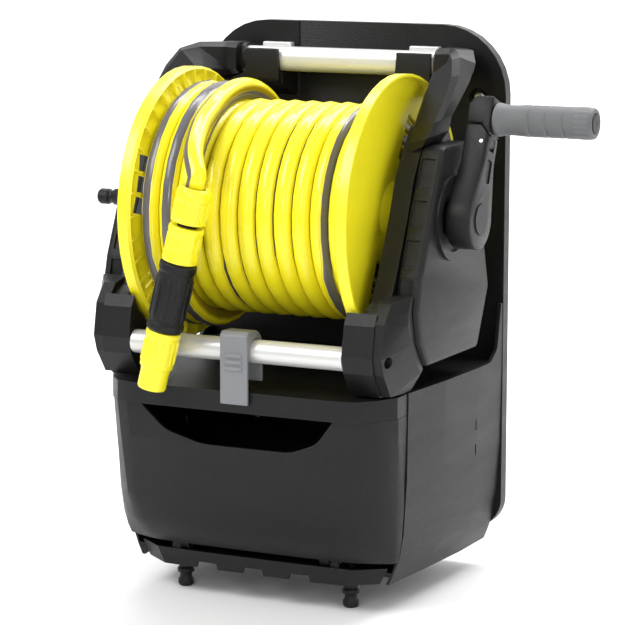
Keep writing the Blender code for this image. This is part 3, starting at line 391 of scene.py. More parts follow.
def hose_material(settings):
    """Soft yellow hose with a grey stripe and painted shade on its flanks where turns lie side by side.
    """
    made, tree, shader, place = blank_material("striped_hose")
    around = node(tree, "ShaderNodeSeparateXYZ", {0: place.outputs["UV"]})
    turn = math_node(tree, "FRACT", around.outputs["Y"])
    off = math_node(tree, "ABSOLUTE", math_node(tree, "SUBTRACT", turn, 0.5))
    stripe = ranged(tree, off, 0.088, 0.078, 0.0, 1.0)
    hairline = math_node(
        tree, "MULTIPLY", ranged(tree, off, 0.118, 0.114, 0.0, 1.0),
        ranged(tree, off, 0.100, 0.104, 0.0, 1.0)
    )
    flank = node(tree, "ShaderNodeAttribute", attribute_name="flank")
    # painted shade: the flanks go dark brown where turns touch and shade each other
    painted_gap_shade = ranged(tree, flank.outputs["Fac"], 0.93, 1.0, 0.0, 0.9)
    cloud = node(
        tree, "ShaderNodeTexNoise", {"Vector": place.outputs["Object"], "Scale": 16.0, "Detail": 4.0}
    )
    base = mix_colour(
        tree, cloud.outputs["Fac"], tuple(c * 0.96 for c in settings.colour), tuple(settings.colour)
    )
    base = mix_colour(tree, painted_gap_shade, base, (0.20, 0.135, 0.008))
    lined = mix_colour(tree, math_node(tree, "MULTIPLY", hairline, 0.55), base, (0.45, 0.30, 0.02))
    banded = mix_colour(tree, stripe, lined, tuple(settings.stripe))
    dusty = use_effect(tree, "dust", {"Vector": place.outputs["Object"], "Amount": 0.05})
    tree.links.new(
        mix_colour(tree, dusty.outputs["Mask"], banded, (0.5, 0.47, 0.38)),
        shader.inputs["Base Color"],
    )
    marks = node(
        tree, "ShaderNodeTexNoise", {"Vector": place.outputs["Object"], "Scale": 70.0, "Detail": 5.0}
    )
    tree.links.new(ranged(tree, marks.outputs["Fac"], 0.3, 0.7, 0.17, 0.27), shader.inputs["Roughness"])
    grain = use_effect(tree, "fine_grain", {"Vector": place.outputs["Object"], "Scale": 700.0})
    bump = node(tree, "ShaderNodeBump", {"Height": grain.outputs["Height"], "Distance": 0.00003})
    tree.links.new(bump.outputs[0], shader.inputs["Normal"])
    return made


def metal_material(name, colour, roughness, metallic, stretch):
    """Painted or plated metal with fine lengthwise marks."""
    made, tree, shader, place = blank_material(name)
    where = place.outputs["Object"]
    drawn = node(tree, "ShaderNodeMapping", {"Vector": where, "Scale": stretch})
    lines = node(tree, "ShaderNodeTexNoise", {"Vector": drawn.outputs[0], "Scale": 1.0, "Detail": 6.0})
    sheen_and_wear = use_effect(tree, "edge_sheen_and_wear", {"Vector": where, "Radius": 0.0008})
    tone = mix_colour(tree, lines.outputs["Fac"], tuple(c * 0.86 for c in colour), colour)
    tone = mix_colour(
        tree, math_node(tree, "MULTIPLY", sheen_and_wear.outputs["Marks"], 0.12), tone,
        tuple(c * 0.55 for c in colour)
    )
    tree.links.new(tone, shader.inputs["Base Color"])
    rough = math_node(tree, "MULTIPLY_ADD", lines.outputs["Fac"], 0.14, roughness - 0.07)
    tree.links.new(rough, shader.inputs["Roughness"])
    bump = node(tree, "ShaderNodeBump", {"Height": lines.outputs["Fac"], "Distance": 0.00004})
    tree.links.new(bump.outputs[0], shader.inputs["Normal"])
    shader.inputs["Metallic"].default_value = metallic
    return made


FINISHES = {}


def finish_of(slot):
    """The material of one of the record's slots, built the first time it is asked for."""
    if slot in FINISHES:
        return FINISHES[slot]
    tones = bpy.context.scene.station_finish
    hose = bpy.context.scene.station_hose
    black, graphite, yellow = tuple(tones.black), tuple(tones.graphite), tuple(tones.yellow)
    grain = tones.grain
    if slot == "black_plastic":
        made = moulded(
            "black_moulding", black, 0.38, 1150.0, grain, (0.035, 0.035, 0.035), 0.012, specular=0.24
        )
    elif slot == "graphite_plastic":
        made = moulded(
            "graphite_moulding", graphite, 0.42, 950.0, grain * 1.2, (0.035, 0.035, 0.035), 0.012,
            specular=0.24,
        )
    elif slot == "yellow_plastic":
        made = moulded(
            "yellow_moulding", yellow, 0.34, 1500.0, grain * 0.3, (0.92, 0.84, 0.10), 0.04, 0.15, 0.04
        )
    elif slot == "grey_soft_grip":
        made = moulded(
            "soft_grip", tuple(tones.grip), 0.52, 1900.0, grain * 0.8, (0.26, 0.26, 0.27), 0.05
        )
    elif slot == "grey_plastic":
        made = moulded(
            "grey_moulding", tuple(tones.clip), 0.42, 1300.0, grain * 0.6, (0.35, 0.35, 0.36), 0.05
        )
    elif slot == "black_rubber":
        made = moulded("rubber", (0.012, 0.012, 0.012), 0.7, 1600.0, grain, (0.03, 0.03, 0.03))
    elif slot == "silver_paint":
        made = metal_material("silver_paint", tuple(tones.silver), 0.32, 0.35, (6.0, 220.0, 220.0))
    elif slot == "zinc_steel":
        made = metal_material("zinc_plate", (0.56, 0.56, 0.55), 0.34, 1.0, (300.0, 300.0, 300.0))
    else:
        made = hose_material(hose)
    FINISHES[slot] = made
    return made


SLOT_OF = {part["node"]: part["material_slot"] for part in frame["record"]["subparts"]}
BODY_OF = {
    name: body for body, names in frame["record"]["behaviour"]["bodies"].items() for name in names
}


# ---------------------------------------------------------------- mesh helpers
def new_piece(name, mesh, slot, body, *stands_for):
    """Puts a finished mesh in the scene, on its body, in place of its solids."""
    piece = bpy.data.objects.new(name, mesh)
    bpy.context.scene.collection.objects.link(piece)
    mesh.materials.clear()
    mesh.materials.append(finish_of(slot))
    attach(piece, body)
    if stands_for:
        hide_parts(*stands_for)
    return piece


def baked(piece):
    """The mesh of a piece with its modifiers applied. The piece itself is removed."""
    graph = bpy.context.evaluated_depsgraph_get()
    mesh = bpy.data.meshes.new_from_object(piece.evaluated_get(graph))
    bpy.data.objects.remove(piece)
    return mesh


def shade(mesh, angle):
    for face in mesh.polygons:
        face.use_smooth = True
    mesh.set_sharp_from_angle(angle=math.radians(angle))


def softened(mesh, width, segments=2, angle=32):
    """The mesh with its sharp edges rounded."""
    piece = bpy.data.objects.new("softening", mesh)
    bpy.context.scene.collection.objects.link(piece)
    bevel = piece.modifiers.new("soft_edges", "BEVEL")
    bevel.width = width
    bevel.segments = segments
    bevel.limit_method = "ANGLE"
    bevel.angle_limit = math.radians(angle)
    bevel.harden_normals = True
    bevel.use_clamp_overlap = True
    return baked(piece)


def finished_solid(name, width=0.0007, segments=2, angle=32, extras=()):
    """A solid's own shape with clean faces, smooth curves and softened edges, and any bars on it."""
    mesh = frame["nodes"][name].data.copy()
    work = bmesh.new()
    work.from_mesh(mesh)
    bmesh.ops.remove_doubles(work, verts=work.verts, dist=0.00001)
    bmesh.ops.dissolve_limit(
        work, angle_limit=math.radians(0.4), verts=work.verts, edges=work.edges,
        use_dissolve_boundaries=False
    )
    work.to_mesh(mesh)
    work.free()
    shade(mesh, angle)
    if width:
        mesh = softened(mesh, width, segments, angle)
    if extras:
        mesh = joined([mesh, *extras])
        mesh.name = f"{name}_finished"
    return new_piece(f"{name}_finished", mesh, SLOT_OF[name], BODY_OF[name], name)


def standing(start, direction):
    """Carries the local Z axis onto a direction, and the local origin to a point."""
    turn = Vector((0, 0, 1)).rotation_difference(Vector(direction).normalized()).to_matrix().to_4x4()
    return Matrix.Translation(start) @ turn


def turned_mesh(name, profile, start, direction, steps=64):
    """A turned shape. The profile holds (radius, height) up its outer side."""
    mesh = bpy.data.meshes.new(name)
    work = bmesh.new()
    verts = [work.verts.new((radius, 0, height)) for radius, height in profile]
    edges = [work.edges.new(pair) for pair in zip(verts, verts[1:])]
    bmesh.ops.spin(
        work, geom=verts + edges, cent=(0, 0, 0), axis=(0, 0, 1), angle=math.tau, steps=steps,
        use_merge=True, use_normal_flip=True,
    )
    bmesh.ops.remove_doubles(work, verts=work.verts, dist=0.00001)
    bmesh.ops.recalc_face_normals(work, faces=work.faces)
    bmesh.ops.transform(work, matrix=standing(start, direction), verts=work.verts)
    work.to_mesh(mesh)
    work.free()
    shade(mesh, 40)
    return mesh


def frames_along(points, first_up):
    """(point, up, side) along a path, with up carried along without twisting."""
    made, up = [], first_up
    for k, point in enumerate(points):
        before = points[max(0, k - 1)]
        after = points[min(len(points) - 1, k + 1)]
        forward = (after - before).normalized()
        up = (up - forward * up.dot(forward)).normalized()
        made.append((point, up, forward.cross(up)))
    return made


def hose_mesh(name, frames, radius, twist, sides=20):
    """A tube with flat ends. Its UV holds the length along it and the turn round it."""
    mesh = bpy.data.meshes.new(name)
    work = bmesh.new()
    flank = work.verts.layers.float.new("flank")
    uv = work.loops.layers.uv.new("UVMap")
    rings, lengths, walked = [], [], 0.0
    for k, (point, up, side) in enumerate(frames):
        walked += (point - frames[k - 1][0]).length if k else 0.0
        lengths.append(walked)
        ring = []
        for j in range(sides):
            angle = math.tau * j / sides
            vert = work.verts.new(point + (up * math.cos(angle) + side * math.sin(angle)) * radius)
            # flank is 1 on the inner half and near the sides; the hose material paints shade where it
            # nears 1
            vert[flank] = abs(math.sin(angle)) if math.cos(angle) > 0 else 1.0
            ring.append(vert)
        rings.append(ring)
    for k, (lower, upper) in enumerate(zip(rings, rings[1:])):
        for j in range(sides):
            after = (j + 1) % sides
            face = work.faces.new((lower[j], lower[after], upper[after], upper[j]))
            face.smooth = True
            for loop, (row, step) in zip(face.loops, ((k, j), (k, j + 1), (k + 1, j + 1), (k + 1, j))):
                loop[uv].uv = (lengths[row] * 10, 0.5 + step / sides + twist[row])
    work.faces.new(rings[0][::-1])
    work.faces.new(rings[-1])
    work.normal_update()
    bmesh.ops.recalc_face_normals(work, faces=work.faces)
    work.to_mesh(mesh)
    work.free()
    return mesh


# ---------------------------------------------------------------- hose
def wound_route(settings):
    """(points, outward directions, twist) of the wound hose, from inside the drum to its last turn."""
    steps = 32
    half = settings.half_width
    pitch = 2 * half / settings.turns
    plan = []                                     # (radius, x) at the start and end of each turn
    plan += [(settings.first_layer, -half + pitch * k) for k in range(settings.turns + 1)]
    plan += [(settings.second_layer, half - pitch * k) for k in range(settings.turns + 1)]
    plan += [(settings.top_layer, -half + pitch * k) for k in range(3)]
    points, outward, twist = [], [], []
    turning = math.radians(90)
    for k in range(1, 12):
        share = k / 12
        angle = turning - math.radians(120) * share
        eased = (1 - math.cos(share * math.pi)) / 2
        radius = 0.0480 + (settings.first_layer - 0.0480) * eased
        direction = Vector((0, -math.cos(angle), math.sin(angle)))
        points.append(AXIS + Vector((OUTLET_X - (half + OUTLET_X) * eased, 0, 0)) + direction * radius)
        outward.append(direction)
        twist.append(0.30)
    turning -= math.radians(120)
    for k, ((radius, x), (next_radius, next_x)) in enumerate(zip(plan, plan[1:])):
        for step in range(steps):
            share = step / steps
            angle = turning - math.tau * share
            # the hose steps over to its next place in a quarter turn at the back
            moved = min(1.0, max(0.0, (share - 0.30) / 0.24))
            moved = moved * moved * (3 - 2 * moved)
            direction = Vector((0, -math.cos(angle), math.sin(angle)))
            points.append(
                AXIS + Vector((x + (next_x - x) * moved, 0, 0))
                + direction * (radius + (next_radius - radius) * moved)
            )
            outward.append(direction)
            lain, next_lain = STRIPE_TURNS.get(k, 0.30), STRIPE_TURNS.get(k + 1, 0.30)
            twist.append(lain + (next_lain - lain) * moved + 0.03 * math.sin(angle * 0.5 + k))
    return points, outward, twist


# where the stripe shows on a turn, as a share of a circle from straight outwards
STRIPE_TURNS = {11: 0.10, 12: 0.13, 13: 0.36, 17: 0.30, 18: 0.27, 21: -0.05, 22: -0.02, 23: 0.02}


def tail_route():
    """The last half turn over the winding, and the lead down to the nut."""
    radius = 0.0892 + 0.0175 + 0.0008
    knots = []
    for k in range(17):
        angle = math.radians(-125 - 11 * k)
        knots.append(AXIS + Vector((TAIL_X, -math.cos(angle) * radius, math.sin(angle) * radius)))
    knots += [
        Vector((-0.0470, -0.2300, 0.1560)), Vector((-0.0370, -0.2620, 0.1360)),
        nozzle_point(-0.0070),
    ]
    ends = [2 * knots[0] - knots[1], *knots, 2 * knots[-1] - knots[-2]]
    fine = []
    for before, start, end, after in zip(ends, ends[1:], ends[2:], ends[3:]):
        for k in range(6):
            t = k / 6
            fine.append(
                0.5 * (
                    2 * start
                    + (end - before) * t
                    + (2 * before - 5 * start + 4 * end - after) * t * t
                    + (3 * start - before - 3 * end + after) * t ** 3
                )
            )
    return fine + [knots[-1], nozzle_point(0.0030)]


class STATION_OT_hose(bpy.types.Operator):
    """Winds the hose on the drum and lays its last turn down to the nut"""

    bl_idname = "station.hose"
    bl_label = "Hose"

    def execute(self, context):
        settings = context.scene.station_hose
        points, outward, twist = wound_route(settings)
        frames = []
        for k, (point, out) in enumerate(zip(points, outward)):
            forward = (points[min(k + 1, len(points) - 1)] - points[max(k - 1, 0)]).normalized()
            up = (out - forward * out.dot(forward)).normalized()
            frames.append((point, up, forward.cross(up)))
        mesh = hose_mesh("wound_hose", frames, settings.diameter / 2, twist)
        wound = new_piece("wound_hose", mesh, "yellow_hose", "reel", "hose_winding", "hose_top_turns")
        tail = tail_route()
        frames = frames_along(tail, (tail[0] - AXIS - Vector((TAIL_X, 0, 0))).normalized())
        share = [k / (len(tail) - 1) for k in range(len(tail))]
        mesh = hose_mesh(
            "hose_end_turn", frames, settings.diameter / 2, [-0.10 - 0.05 * s for s in share]
        )
        laid = new_piece("hose_end_turn", mesh, "yellow_hose", "cassette", "hose_tail")
        return {"FINISHED"}


# ---------------------------------------------------------------- repeated shapes
def tree_of(name, inputs):
    """An empty Geometry Nodes tree. inputs are (name, type, default)."""
    tree = bpy.data.node_groups.new(name, "GeometryNodeTree")
    for label, kind, default in inputs:
        socket = tree.interface.new_socket(label, in_out="INPUT", socket_type=kind)
        if default is not None:
            socket.default_value = default
    tree.interface.new_socket("Geometry", in_out="OUTPUT", socket_type="NodeSocketGeometry")
    return tree, tree.nodes.new("NodeGroupInput"), tree.nodes.new("NodeGroupOutput")


def rounded_bar(tree, given):
    """A bar with rounded ends and back, lying along Z and standing out along X."""
    bar = node(
        tree, "GeometryNodeMeshUVSphere", {"Segments": 16, "Rings": 8, "Radius": 0.5}
    )
    # each point is pushed out towards the faces of a block, which leaves its edges rounded
    here = node(tree, "GeometryNodeInputPosition")
    parts = node(tree, "ShaderNodeSeparateXYZ", {0: here.outputs[0]})
    squared = []
    for axis in "XYZ":
        doubled = math_node(tree, "MULTIPLY", parts.outputs[axis], 3.0)
        held = math_node(tree, "MINIMUM", math_node(tree, "MAXIMUM", doubled, -1.0), 1.0)
        soft = math_node(
            tree, "MULTIPLY_ADD", parts.outputs[axis], 0.24, math_node(tree, "MULTIPLY", held, 0.38)
        )
        squared.append(soft)
    shape = node(tree, "ShaderNodeCombineXYZ", dict(zip("XYZ", squared)))
    scaled = node(
        tree, "ShaderNodeVectorMath", {0: shape.outputs[0], 1: given.outputs["Bar Size"]},
        operation="MULTIPLY",
    )
    return node(
        tree, "GeometryNodeSetPosition", {"Geometry": bar.outputs["Mesh"], "Position": scaled.outputs[0]}
    ).outputs[0]


def finish_tree(tree, instances, given, out):
    real = node(tree, "GeometryNodeRealizeInstances", {"Geometry": instances})
    painted = node(
        tree, "GeometryNodeSetMaterial",
        {"Geometry": real.outputs[0], "Material": given.outputs["Material"]},
    )
    tree.links.new(painted.outputs[0], out.inputs[0])


def ring_tree():
    """Bars in a ring round the Z axis."""
    tree, given, out = tree_of(
        "ring_of_bars",
        [
            ("Count", "NodeSocketInt", 12), ("Radius", "NodeSocketFloat", 0.015),
            ("Height", "NodeSocketFloat", 0.0),
            ("First", "NodeSocketFloat", 0.0), ("Tilt", "NodeSocketFloat", 0.0),
            ("Bar Size", "NodeSocketVector", (0.002, 0.002, 0.01)),
            ("Material", "NodeSocketMaterial", None),
        ],
    )
    points = node(
        tree, "GeometryNodeMeshLine", {"Count": given.outputs["Count"], "Offset": (0, 0, 0)},
        mode="OFFSET",
    )
    number = node(tree, "GeometryNodeInputIndex")
    share = math_node(tree, "DIVIDE", number.outputs[0], given.outputs["Count"])
    angle = math_node(tree, "MULTIPLY_ADD", share, math.tau, given.outputs["First"])
    place = node(
        tree, "ShaderNodeCombineXYZ",
        {
            "X": math_node(tree, "MULTIPLY", math_node(tree, "COSINE", angle), given.outputs["Radius"]),
            "Y": math_node(tree, "MULTIPLY", math_node(tree, "SINE", angle), given.outputs["Radius"]),
            "Z": given.outputs["Height"],
        },
    )
    placed = node(
        tree, "GeometryNodeSetPosition",
        {"Geometry": points.outputs[0], "Position": place.outputs[0]},
    )
    turn = node(tree, "ShaderNodeCombineXYZ", {"Y": given.outputs["Tilt"], "Z": angle})
    copies = node(
        tree, "GeometryNodeInstanceOnPoints",
        {"Points": placed.outputs[0], "Instance": rounded_bar(tree, given), "Rotation": turn.outputs[0]},
    )
    finish_tree(tree, copies.outputs[0], given, out)
    return tree


def row_tree():
    """Bars in a row from a first place, a step apart."""
    tree, given, out = tree_of(
        "row_of_bars",
        [
            ("Count", "NodeSocketInt", 3), ("Start", "NodeSocketVector", (0, 0, 0)),
            ("Step", "NodeSocketVector", (0, 0, 0.01)), ("Turn", "NodeSocketVector", (0, 0, 0)),
            ("Bar Size", "NodeSocketVector", (0.002, 0.002, 0.01)),
            ("Material", "NodeSocketMaterial", None),
        ],
    )
    points = node(
        tree, "GeometryNodeMeshLine",
        {
            "Count": given.outputs["Count"], "Start Location": given.outputs["Start"],
            "Offset": given.outputs["Step"],
        },
        mode="OFFSET",
    )
    copies = node(
        tree, "GeometryNodeInstanceOnPoints",
        {
            "Points": points.outputs[0], "Instance": rounded_bar(tree, given),
            "Rotation": given.outputs["Turn"],
        },
    )
    finish_tree(tree, copies.outputs[0], given, out)
    return tree


TREES = {}


def repeated(kind, values, matrix=None):
    """The plain mesh that one of the trees makes with these inputs, carried to its place."""
    if kind not in TREES:
        TREES[kind] = {"ring": ring_tree, "row": row_tree}[kind]()
    tree = TREES[kind]
    piece = bpy.data.objects.new(kind, bpy.data.meshes.new(kind))
    bpy.context.scene.collection.objects.link(piece)
    modifier = piece.modifiers.new("bars", "NODES")
    modifier.node_group = tree
    for item in tree.interface.items_tree:
        if item.in_out == "INPUT" and item.name in values:
            modifier[item.identifier] = values[item.name]
    mesh = baked(piece)
    if matrix:
        mesh.transform(matrix)
    shade(mesh, 50)
    return mesh


def joined(meshes):
    """One mesh out of several."""
    work = bmesh.new()
    for mesh in meshes:
        work.from_mesh(mesh)
    made = bpy.data.meshes.new(meshes[0].name)
    work.to_mesh(made)
    work.free()
    return made


NOZZLE_AT = standing(NOZZLE_TOP, NOZZLE_END - NOZZLE_TOP)


def ribs(slot, count, radius, start, end, width, height, first=0.0, tilt=0.0, at=NOZZLE_AT):
    """A ring of ribs on a turned piece, between two heights."""
    values = {
        "Count": count, "Radius": radius, "Height": (start + end) / 2, "First": first, "Tilt": tilt,
        "Bar Size": (height * 2, width, end - start), "Material": finish_of(slot),
    }
    return repeated("ring", values, at)


def turned_piece(node_name, profile, start, direction, extras=(), steps=72):
    """A turned finished piece in place of a solid, with ribs or bars on it."""
    mesh = turned_mesh(f"{node_name}_finished", profile, start, direction, steps)
    if extras:
        mesh = joined([mesh, *extras])
    return new_piece(f"{node_name}_finished", mesh, SLOT_OF[node_name], BODY_OF[node_name], node_name)


def softly(profile, radius=0.0006, steps=3):
    """A profile with its corners rounded. Points on the axis stay as they are."""
    points = []
    for k, point in enumerate(profile):
        here = Vector(point)
        if k in (0, len(profile) - 1):
            points.append(tuple(here))
            continue
        before, after = Vector(profile[k - 1]), Vector(profile[k + 1])
        reach = min(radius, (before - here).length * 0.45, (after - here).length * 0.45)
        first = here + (before - here).normalized() * reach
        last = here + (after - here).normalized() * reach
        for j in range(steps + 1):
            t = j / steps
            points.append(tuple(first * (1 - t) ** 2 + here * 2 * t * (1 - t) + last * t * t))
    return points


# ---------------------------------------------------------------- nut, coupler and nozzle
class STATION_OT_fittings(bpy.types.Operator):
    """Makes the hose nut, the push-on coupler and the spray nozzle"""

    bl_idname = "station.fittings"
    bl_label = "Nut, Coupler and Nozzle"

    def execute(self, context):
        sizes = context.scene.station_fittings
        width, height = sizes.rib_width, sizes.rib_height
        down = NOZZLE_END - NOZZLE_TOP
        nut = [
            (0.0091, 0.0020), (0.0128, 0.0016), (0.0150, 0.0040), (0.0158, 0.0078), (0.0158, 0.0120),
            (0.0149, 0.0136), (0.0149, 0.0296), (0.0156, 0.0306), (0.0156, 0.0326), (0.0148, 0.0332),
            (0.0091, 0.0332),
        ]
        lobes = ribs("yellow_plastic", sizes.nut_ribs, 0.0148, 0.0132, 0.0300, width * 1.25, height)
        turned_piece("hose_nut", softly(nut + [nut[0]]), NOZZLE_TOP, down, [lobes])

        core = [
            (0, 0.0060), (0.0088, 0.0060), (0.0088, 0.0340), (0.0081, 0.0344), (0.0081, 0.0356),
            (0.0088, 0.0360), (0.0088, 0.0660), (0, 0.0660),
        ]
        turned_piece("coupler_core", softly(core, 0.0003), NOZZLE_TOP, down)

        collar = [
            (0.0091, 0.0370), (0.0144, 0.0366), (0.0157, 0.0376), (0.0160, 0.0400), (0.0153, 0.0440),
            (0.0147, 0.0500), (0.0149, 0.0560), (0.0157, 0.0600), (0.0161, 0.0660), (0.0155, 0.0689),
            (0.0091, 0.0689),
        ]
        flutes = ribs(
            "yellow_plastic", sizes.collar_ribs, 0.0146, 0.0440, 0.0590, width * 1.5, height * 1.2, 0.2
        )
        turned_piece("coupler_sleeve", softly(collar + [collar[0]]), NOZZLE_TOP, down, [flutes])

        body = [
            (0, 0.0665), (0.0085, 0.0665), (0.0085, 0.0694), (0.0150, 0.0697), (0.0166, 0.0712),
            (0.0166, 0.0770), (0.0156, 0.0780), (0.0156, 0.0800), (0.0160, 0.0815), (0.0157, 0.1215),
            (0.0151, 0.1225), (0.0151, 0.1240), (0.0166, 0.1250), (0.0166, 0.1300), (0.0155, 0.1318),
            (0.0060, 0.1322), (0.0060, 0.1500), (0, 0.1500),
        ]
        long_ribs = ribs(
            "black_plastic", sizes.body_ribs, 0.0156, 0.0830, 0.1205, width * 1.7, height * 1.3, 0.3
        )
        turned_piece("nozzle_body", softly(body), NOZZLE_TOP, down, [long_ribs])

        tip = [
            (0.0028, 0.1500), (0.0064, 0.1500), (0.0064, 0.1328), (0.0148, 0.1326), (0.0156, 0.1338),
            (0.0156, 0.1372), (0.0149, 0.1384), (0.0147, 0.1500), (0.0150, 0.1600), (0.0148, 0.1660),
            (0.0133, 0.1672), (0.0128, 0.1720), (0.0128, 0.1850), (0.0120, 0.1866), (0.0078, 0.1866),
            (0.0072, 0.1835), (0.0028, 0.1835),
        ]
        edge = ribs("yellow_plastic", sizes.tip_ribs, 0.0147, 0.1400, 0.1620, width, height)
        turned_piece("nozzle_tip", softly(tip + [tip[0]]), NOZZLE_TOP, down, [edge])
        return {"FINISHED"}


# ---------------------------------------------------------------- crank grip
class STATION_OT_grip(bpy.types.Operator):
    """Makes the crank's grip with its grooves, and the button in its end"""

    bl_idname = "station.grip"
    bl_label = "Crank Grip"

    def execute(self, context):
        sizes = context.scene.station_fittings
        start = along_crank(0.1845, CRANK_THROW)
        length = 0.0925
        grooved = []
        first = 0.0340
        for k in range(sizes.grip_grooves):
            at = first + sizes.groove_pitch * k
            grooved += [
                (0.0141, at - 0.0012), (0.0133, at - 0.0006), (0.0133, at + 0.0006),
                (0.0141, at + 0.0012),
            ]
        profile = [
            (0.0046, 0), (0.0124, 0), (0.0148, 0.0012), (0.0150, 0.0036), (0.0142, 0.0072),
            (0.0134, 0.0120), (0.0134, 0.0200), (0.0141, 0.0290),
        ] + grooved + [
            (0.0141, length - 0.0180), (0.0141, length - 0.0030), (0.0132, length - 0.0006),
            (0.0118, length), (0.0096, length - 0.0004), (0.0092, length - 0.0040),
            (0.0046, length - 0.0040),
        ]
        profile.append(profile[0])
        dimples = ribs(
            "grey_soft_grip", 18, 0.0132, length - 0.0150, length - 0.0050, 0.0016, 0.00115,
            at=standing(start, (1, 0, 0)),
        )
        turned_piece("grip_sleeve", softly(profile, 0.0005), start, (1, 0, 0), [dimples])
        button = [(0, 0), (0.0088, 0), (0.0088, 0.0030), (0.0076, 0.0036), (0.0030, 0.0036), (0, 0.0034)]
        turned_piece("grip_end_cap", softly(button, 0.0004), along_crank(0.2734, CRANK_THROW), (1, 0, 0))
        return {"FINISHED"}


# ---------------------------------------------------------------- hose guide
class STATION_OT_guide(bpy.types.Operator):
    """Makes the grey clip on the lower bar, with the ridges on its front"""

    bl_idname = "station.guide"
    bl_label = "Hose Guide"

    def execute(self, context):
        sizes = context.scene.station_fittings
        bars = repeated(
            "row",
            {
                "Count": sizes.clip_bars, "Start": (0.0035, -0.2678, -0.0390),
                "Step": (0.0, 0.0, -0.0058),
                "Bar Size": (0.0185, 0.0036, 0.0030), "Material": finish_of("grey_plastic"),
            },
        )
        finished_solid("hose_guide", 0.0014, 3, extras=[bars])
        return {"FINISHED"}


# ---------------------------------------------------------------- solids that keep their own shape
class STATION_OT_panel(bpy.types.Operator):
    """Finishes the wall panel and the screws that hold it"""

    bl_idname = "station.panel"
    bl_label = "Wall Panel"

    def execute(self, context):
        finished_solid("wall_panel", 0.0009, 3)
        for height in ("upper", "lower"):
            for side in SIDES:
                finished_solid(f"wall_screw_{height}_{side}", 0.0003)
        return {"FINISHED"}


class STATION_OT_hooks(bpy.types.Operator):
    """Finishes the hooks that carry the cassette, and the plates behind them"""

    bl_idname = "station.hooks"
    bl_label = "Hooks"

    def execute(self, context):
        for side in SIDES:
            finished_solid(f"carry_hook_{side}", 0.0016, 3)
            finished_solid(f"hook_plate_{side}", 0.0012, 3)
        return {"FINISHED"}


class STATION_OT_bin(bpy.types.Operator):
    """Finishes the storage bin with its deck, flap, hinge pins and studs"""

    bl_idname = "station.bin"
    bl_label = "Storage Bin"

    def execute(self, context):
        finished_solid("storage_bin", 0.0008)
        finished_solid("bin_deck", 0.0014, 3)
        finished_solid("storage_flap", 0.0012, 3)
        for side in SIDES:
            finished_solid(f"flap_pin_{side}", 0.0003)
            finished_solid(f"accessory_nipple_{side}", 0.0003)
        return {"FINISHED"}


class STATION_OT_arms(bpy.types.Operator):
    """Finishes the cassette's arms, their covers and the bushes in them"""

    bl_idname = "station.arms"
    bl_label = "Cassette Arms"

    def execute(self, context):
        for side in SIDES:
            finished_solid(f"side_frame_{side}", 0.0022, 3, 20)
            finished_solid(f"side_cover_{side}", 0.0006)
            finished_solid(f"axle_bush_{side}", 0.0003)
        return {"FINISHED"}


class STATION_OT_bars(bpy.types.Operator):
    """Finishes the carrying bar, the lower bar and its screws"""

    bl_idname = "station.bars"
    bl_label = "Bars"

    def execute(self, context):
        finished_solid("top_bar", 0.0008)
        finished_solid("lower_bar", 0.0006)
        for side in SIDES:
            finished_solid(f"bar_screw_{side}", 0.0003)
        return {"FINISHED"}


class STATION_OT_reel(bpy.types.Operator):
    """Finishes the flanges with the ribs in their rims, the drum, its outlet and the inlet"""

    bl_idname = "station.reel"
    bl_label = "Reel and Inlet"

    def execute(self, context):
        count = context.scene.station_fittings.flange_ribs
        for side, sign in SIDES.items():
            values = {
                "Count": count, "Radius": 0.1148, "Height": 0.0036, "Bar Size": (0.0150, 0.0022, 0.0056),
                "Material": finish_of("yellow_plastic"),
            }
            inner = standing(AXIS + Vector((sign * FLANGE_INNER, 0, 0)), (sign, 0, 0))
            finished_solid(f"reel_flange_{side}", 0.0006, extras=[repeated("ring", values, inner)])
        for name in (
            "reel_drum", "drum_outlet", "inner_hose_nut", "drive_shaft", "water_inlet", "inlet_seal",
        ):
            finished_solid(name, 0.0003)
        return {"FINISHED"}


class STATION_OT_crank(bpy.types.Operator):
    """Finishes the crank, its cap and screw, and the folding block with its pin and spindle"""

    bl_idname = "station.crank"
    bl_label = "Crank"

    def execute(self, context):
        finished_solid("crank_arm", 0.0009, 3)
        finished_solid("grip_block", 0.0009, 3)
        for name in ("crank_cap", "crank_screw", "fold_pin", "grip_spindle"):
            finished_solid(name, 0.0003)
        return {"FINISHED"}


# ---------------------------------------------------------------- stage
def area_light(name, place, target, size, power):
    """A white area light at a place, turned to its target."""
    light = bpy.data.lights.new(name, "AREA")
    light.shape = "RECTANGLE"
    light.size, light.size_y = size
    light.energy = power
    lamp = bpy.data.objects.new(name, light)
    lamp.location = place
    lamp.rotation_euler = (Vector(target) - Vector(place)).to_track_quat("-Z", "Y").to_euler()
    bpy.context.scene.collection.objects.link(lamp)


